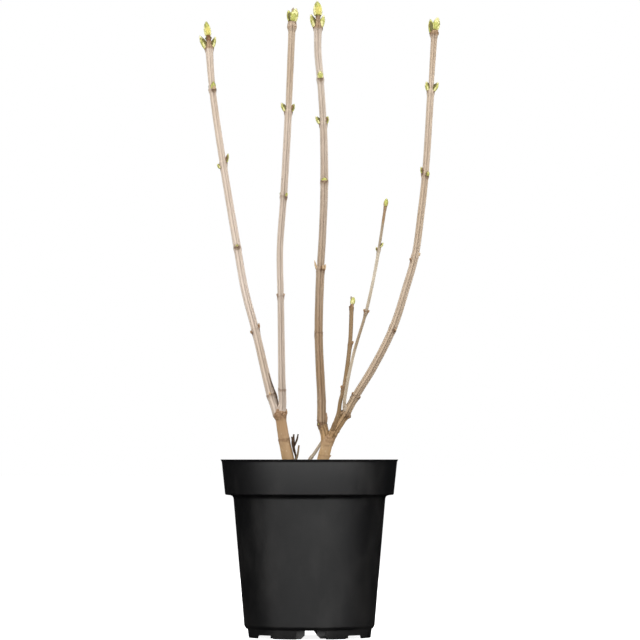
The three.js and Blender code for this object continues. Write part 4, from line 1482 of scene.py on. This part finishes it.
class LilacColours(bpy.types.PropertyGroup):
    """The colours of the bark, the buds, the pot and the soil."""

    stem_old: colour_setting("Old stem", "The golden bark at the foot of the stems", 167, 139, 102)
    stem_young: colour_setting("Young stem", "The bark of the stems below their forks", 143, 112, 84)
    fork_wood: colour_setting("Fork wood", "The older bark of a shoot below its first knot", 163, 134, 99)
    shoot_old: colour_setting("Old shoot", "The bark at the foot of the shoots", 161, 136, 99)
    shoot_young: colour_setting("Young shoot", "The pale bark at the top of the shoots", 199, 184, 170)
    brown_old: colour_setting("Old brown shoot", "The browner bark at the foot of a shoot", 146, 124, 99)
    brown_young: colour_setting("Young brown shoot", "The paler bark further up it", 195, 182, 168)
    dusky_old: colour_setting("Old dusky twig", "The darkest bark, on the short twig", 100, 79, 51)
    dusky_young: colour_setting("Young dusky twig", "The paler bark of the short twig", 131, 109, 79)
    twig_old: colour_setting("Old twig", "The bark at the foot of the thin twigs", 130, 114, 92)
    twig_young: colour_setting("Young twig", "The bark at the end of the thin twigs", 198, 187, 168)
    # This colour also paints the band of shade down the front and back of each limb, and part of the shade
    # in the hollow above each bud.
    stripe: colour_setting("Brown stripe", "The band that runs down below each bud", 120, 92, 67)
    # This colour also paints shade in the creases of knotty joints, in the hollows above buds and in the
    # corners between limbs.
    crease: colour_setting("Crease", "The dark line round a joint and at a leaf scar", 80, 54, 34)
    leaf_scar: colour_setting("Leaf scar", "The pale scar that last year's leaf left", 206, 188, 158)
    dead_wood: colour_setting("Dead wood", "The dry spurs at the foot of the stems", 48, 32, 26)
    bud_green: colour_setting("Green scales", "The skin of most bud scales", 175, 175, 92)
    bud_yellow: colour_setting("Yellow scales", "The palest bud scales", 217, 212, 148)
    bud_gold: colour_setting("Golden scales", "The fattest scales of the end buds", 196, 184, 98)
    # The olive and brown scales also paint shade on the side of a leaning bud that faces the wood.
    bud_olive: colour_setting("Olive scales", "The edges and tips of the scales", 98, 92, 44)
    bud_brown: colour_setting("Brown scales", "Small dormant buds and dry edges", 124, 88, 58)
    bud_tan: colour_setting("Tan scales", "The dry skin of small buds", 180, 154, 120)
    bud_bark: colour_setting("Bark knobs", "The knobs of bark on a knuckle", 148, 118, 87)
    bud_grey: colour_setting("Grey stubs", "The dead stubs among the buds", 146, 130, 110)
    pot: colour_setting("Pot", "The black plastic of the pot", 8, 8, 9)
    pot_dust: colour_setting("Dust", "Dust and scuffs on the pot", 104, 100, 95)
    soil: colour_setting("Soil", "The damp peat", 54, 40, 30)
    soil_crumb: colour_setting("Crumbs", "The crumbs of the peat", 70, 52, 38)
    soil_bark: colour_setting("Bark chips", "Chips of bark in the soil", 104, 74, 50)
    soil_fibre: colour_setting("Fibres", "Short fibres in the soil", 140, 110, 76)


class LilacStage(bpy.types.PropertyGroup):
    """The camera, the floor and the lights."""

    distance: length_setting("Camera distance", "How far the camera stands in front of the pot", 4.27)
    eye_height: length_setting("Camera height", "How high the camera stands", 0.1892)
    lens: bpy.props.FloatProperty(name="Lens", description="The camera's focal length in millimetres",
                                  default=224.4, min=20.0, max=800.0)
    floor_radius: length_setting("Floor radius", "How far the pale floor reaches", 40.0)
    front_light: power_setting("Front light", "The power of the wide front light", 79.5)
    back_light: power_setting("Back light", "The power of the light on the far side", 34.0)
    side_light: power_setting("Side light", "The power of the light on each side", 42.0)
    top_light: power_setting("Top light", "The power of the light overhead", 22.0)
    rear_light: power_setting("Rear light", "The power of the light behind", 20.0)


# ------------------------------------------------------------------ operators

SHOOT_SLOTS = {
    "shoot_far_left": "shoot_bark",
    "shoot_mid_left": "shoot_bark",
    "shoot_mid_right": "brown_bark",
    "shoot_far_right": "shoot_bark",
    "long_twig": "twig_bark",
    "short_twig": "brown_bark",
}
SHOOT_LOOKS = {**SHOOT_SLOTS, "short_twig": "dusky_bark"}
DEAD_LOOKS = {
    "dead_spur": ("dead_bark", 0.05),
    "stub_twig": ("twig_bark", 0.0),
    "loose_twig": ("twig_bark", 1.0),
}
DEAD = {"spacing": 0.0007, "sides": 14, "relief": 1.5, "sliver_sides": 12, "sliver_relief": 2}


def bark_of(name):
    """The bark material of a name, made when it is first asked for."""
    colours = bpy.context.scene.lilac_colours
    wood = name.removesuffix("_bark")
    ends = ("dead_wood", "dead_wood") if wood == "dead" else (f"{wood}_old", f"{wood}_young")
    old, young = (getattr(colours, end) for end in ends)
    return bpy.data.materials.get(f"grown_{name}") or bark_finish(f"grown_{name}", old, young, colours)


def nodes_of(name):
    """The CAD nodes of a limb: a shoot has its bud-bearing end as well."""
    return [name, name.removeprefix("shoot_") + "_buds"] if name in SHOOTS else [name]


class LILAC_OT_pot(bpy.types.Operator):
    """Make the black nursery pot"""

    bl_idname = "lilac.pot"
    bl_label = "Make pot"

    def execute(self, context):
        bm = pot_mesh(context.scene.lilac_sizes.pot_segments)
        finish = pot_finish(context.scene.lilac_colours)
        piece = make_piece("nursery_pot", bm, [finish], ["pot"], crease=SOFT_EDGE["crease"])
        edge = piece.modifiers.new("soft_edges", "BEVEL")
        edge.width = SOFT_EDGE["width"]
        edge.segments = 2
        edge.limit_method = "ANGLE"
        edge.angle_limit = SOFT_EDGE["sharper_than"]
        edge.harden_normals = True
        return {"FINISHED"}


class LILAC_OT_soil(bpy.types.Operator):
    """Fill the pot with rough peat, crumbs and bark chips"""

    bl_idname = "lilac.soil"
    bl_label = "Make soil"

    def execute(self, context):
        sizes, colours = context.scene.lilac_sizes, context.scene.lilac_colours
        finishes = [soil_finish(name, getattr(colours, name)) for name in SOIL_FINISHES]
        litter = soil_litter_mesh(sizes.soil_bits, sizes.seed)
        make_piece("soil_bed", soil_bed_mesh(), finishes[:1], ["potting_soil"])
        make_piece("soil_litter", litter, finishes, ["potting_soil"])
        return {"FINISHED"}


class LILAC_OT_stems(bpy.types.Operator):
    """Grow the two old stems out of the soil"""

    bl_idname = "lilac.stems"
    bl_label = "Grow stems"

    def execute(self, context):
        sizes = context.scene.lilac_sizes
        limbs = grow_limbs()
        for name in STEMS:
            bm = limb_mesh(limbs[name], sizes.ring_spacing * 0.7, sizes.stem_sides, sizes.relief)
            make_piece(f"{name}_bark", bm, [bark_of("stem_bark")], nodes_of(name))
        return {"FINISHED"}


class LILAC_OT_shoots(bpy.types.Operator):
    """Grow the four tall shoots and the two thin twigs"""

    bl_idname = "lilac.shoots"
    bl_label = "Grow shoots"

    def execute(self, context):
        sizes = context.scene.lilac_sizes
        limbs = grow_limbs()
        for name, slot in SHOOT_SLOTS.items():
            sides = sizes.twig_sides if name.endswith("twig") else sizes.shoot_sides
            bm = limb_mesh(limbs[name], sizes.ring_spacing, sides, sizes.relief)
            make_piece(f"{name}_bark", bm, [bark_of(SHOOT_LOOKS[name])], nodes_of(name))
        return {"FINISHED"}


class LILAC_OT_buds(bpy.types.Operator):
    """Set the scaly buds on the stems and shoots"""

    bl_idname = "lilac.buds"
    bl_label = "Set buds"

    def execute(self, context):
        sizes, colours = context.scene.lilac_sizes, context.scene.lilac_colours
        finishes = [bud_finish(name, getattr(colours, name)) for name in BUD_FINISHES]
        for number, (name, limb) in enumerate(grow_limbs().items()):
            bm = buds_mesh(limb, sizes.seed + number)
            make_piece(f"{name}_bud_scales", bm, finishes, nodes_of(name))
        return {"FINISHED"}


class LILAC_OT_dead_wood(bpy.types.Operator):
    """Set the dry spurs at the foot of the stems, and the dark sliver in the left fork"""

    bl_idname = "lilac.dead_wood"
    bl_label = "Set dead wood"

    def execute(self, context):
        relief = context.scene.lilac_sizes.relief
        for name, twigs in DEAD_WOOD.items():
            slot, tone = DEAD_LOOKS[name]
            bm = joined([limb_mesh(dead_limb(rows, tone), DEAD["spacing"], DEAD["sides"],
                                   relief * DEAD["relief"]) for rows in twigs])
            make_piece(f"{name}_bark", bm, [bark_of(slot)], [name])
        bm = limb_mesh(dead_limb(DARK_SLIVER, 0.0), DEAD["spacing"], DEAD["sliver_sides"],
                       relief * DEAD["sliver_relief"])
        make_piece("bark_sliver", bm, [bark_of("dead_bark")], [])
        return {"FINISHED"}


# The lamps: whose power setting each has, its share of it, its place, what it faces, its
# size, and whether it shows in what shines.
LAMPS = {
    "front_light": ("front_light", 1.0, (0.03, -1.1, 0.72), (0.03, 0, 0.32), (7.4, 1.6), True),
    "top_light": ("top_light", 1.0, (0.2, -0.2, 2.2), (0, 0, 0.2), (1.6, 1.6), True),
    "rear_light": ("rear_light", 1.0, (-0.8, 1.5, 2.3), (0, 0, 0.3), (1.6, 1.0), True),
    "back_light": ("back_light", 1.0, (0, 2.0, 0.9), (0, 0, 0.4), (2.0, 1.4), False),
    "left_light": ("side_light", 0.93, (-2.2, -0.3, 0.5), (0, 0, 0.4), (2.0, 1.6), False),
    "right_light": ("side_light", 1.19, (2.2, -0.3, 0.5), (0, 0, 0.4), (2.0, 1.6), False),
}
WHITE = (1, 1, 1, 1)
CAMERA = {"x": 0.0013, "tilt": math.atan(139.75 / 3990), "sensor": 36.0, "near": 0.1, "far": 200.0}


def add_lamp(name, power, place, aim, size, mirrored):
    """A soft light that the camera doesn't see, nor what shines when it isn't mirrored."""
    light = bpy.data.lights.new(name, "AREA")
    light.shape = "RECTANGLE"
    light.size, light.size_y = size
    light.energy = power
    holder = bpy.data.objects.new(name, light)
    holder.location = place
    holder.rotation_euler = (Vector(aim) - Vector(place)).to_track_quat("-Z", "Y").to_euler()
    holder.visible_camera = False
    holder.visible_glossy = mirrored
    bpy.context.scene.collection.objects.link(holder)


def add_sky():
    """White to the camera, and for the light a dim sky that is darkest at the horizon."""
    world = bpy.data.worlds.new("studio")
    bpy.context.scene.world = world
    world.use_nodes = True
    world.node_tree.nodes.clear()
    t = Nodes(world.node_tree)
    heading = t.add("ShaderNodeTexCoord", {}).outputs["Generated"]
    upward = t.add("ShaderNodeSeparateXYZ", {"Vector": heading}).outputs["Z"]
    rays = t.add("ShaderNodeLightPath", {}).outputs
    unmirrored = t.spread(rays["Is Glossy Ray"], 0.0, 1.0, 1.0, 0.0)
    dim = t.times(t.spread(upward, 0.35, 1.0, 0.0, 0.6), unmirrored)
    seen, lit = (t.add("ShaderNodeBackground", {"Color": WHITE, "Strength": strength}).outputs[0]
                 for strength in (1.0, dim))
    both = t.add("ShaderNodeMixShader", {0: rays["Is Camera Ray"], 1: lit, 2: seen})
    t.add("ShaderNodeOutputWorld", {"Surface": both.outputs[0]})


def floor_finish():
    """A pale floor that glows a little to the camera, so that it meets the white sky."""
    finish, t, shader = new_finish("studio_floor", 0.0)
    rays = t.add("ShaderNodeLightPath", {}).outputs["Is Camera Ray"]
    colour = t.mixed(rays, (0.05, 0.05, 0.05, 1), (0.6, 0.6, 0.6, 1))
    glow = t.spread(rays, 0.0, 1.0, 0.0, 0.88)
    shader.inputs["Roughness"].default_value = 0.9
    shader.inputs["Emission Color"].default_value = WHITE
    t.tree.links.new(colour, shader.inputs["Base Color"])
    t.tree.links.new(glow, shader.inputs["Emission Strength"])
    return finish


def add_floor(radius):
    """A wide disc just under the pot, which nothing mirrors."""
    bm = bmesh.new()
    bmesh.ops.create_circle(bm, cap_ends=True, segments=96, radius=radius)
    bmesh.ops.translate(bm, vec=(0, 0, -0.0001), verts=bm.verts[:])
    for face in bm.faces:
        if face.normal.z < 0:
            face.normal_flip()
    floor = new_object("floor", bm)
    floor.data.materials.append(floor_finish())
    floor.visible_glossy = False


def add_camera(stage):
    """The camera, far in front of the pot, level with its rim and tilted up a little."""
    eye = bpy.data.cameras.new("camera")
    eye.sensor_fit = "HORIZONTAL"
    eye.sensor_width = CAMERA["sensor"]
    eye.lens = stage.lens
    eye.clip_start, eye.clip_end = CAMERA["near"], CAMERA["far"]
    holder = bpy.data.objects.new("camera", eye)
    holder.location = (CAMERA["x"], -stage.distance, stage.eye_height)
    holder.rotation_euler = (QUARTER + CAMERA["tilt"], 0, 0)
    bpy.context.scene.collection.objects.link(holder)
    bpy.context.scene.camera = holder


class LILAC_OT_stage(bpy.types.Operator):
    """Set the pale floor, the soft lights and the camera"""

    bl_idname = "lilac.stage"
    bl_label = "Set stage"

    def execute(self, context):
        stage = context.scene.lilac_stage
        add_floor(stage.floor_radius)
        add_sky()
        for name, (setting, share, *rest) in LAMPS.items():
            add_lamp(name, getattr(stage, setting) * share, *rest)
        add_camera(stage)
        context.scene.view_settings.view_transform = "Standard"
        context.scene.view_settings.look = "None"
        return {"FINISHED"}


OPERATORS = (LILAC_OT_pot, LILAC_OT_soil, LILAC_OT_stems, LILAC_OT_shoots, LILAC_OT_buds,
             LILAC_OT_dead_wood, LILAC_OT_stage)


class LILAC_PT_panel(bpy.types.Panel):
    """The lilac's settings and the steps that build it."""

    bl_label = "Lilac"
    bl_idname = "LILAC_PT_panel"
    bl_space_type = "VIEW_3D"
    bl_region_type = "UI"
    bl_category = "Lilac"

    def draw(self, context):
        for group in SETTINGS:
            box = self.layout.box()
            settings = getattr(context.scene, group)
            for name in settings.__annotations__:
                box.prop(settings, name)
        for operator in OPERATORS:
            self.layout.operator(operator.bl_idname)


SETTINGS = {"lilac_sizes": LilacSizes, "lilac_colours": LilacColours, "lilac_stage": LilacStage}
CLASSES = (*SETTINGS.values(), *OPERATORS, LILAC_PT_panel)


def register():
    for made in CLASSES:
        bpy.utils.register_class(made)
    for name, group in SETTINGS.items():
        setattr(bpy.types.Scene, name, bpy.props.PointerProperty(type=group))


def unregister():
    for name in SETTINGS:
        delattr(bpy.types.Scene, name)
    for made in reversed(CLASSES):
        bpy.utils.unregister_class(made)


def main():
    register()
    for operator in OPERATORS:
        group, action = operator.bl_idname.split(".")
        getattr(getattr(bpy.ops, group), action)()


if __name__ == "__main__":
    main()
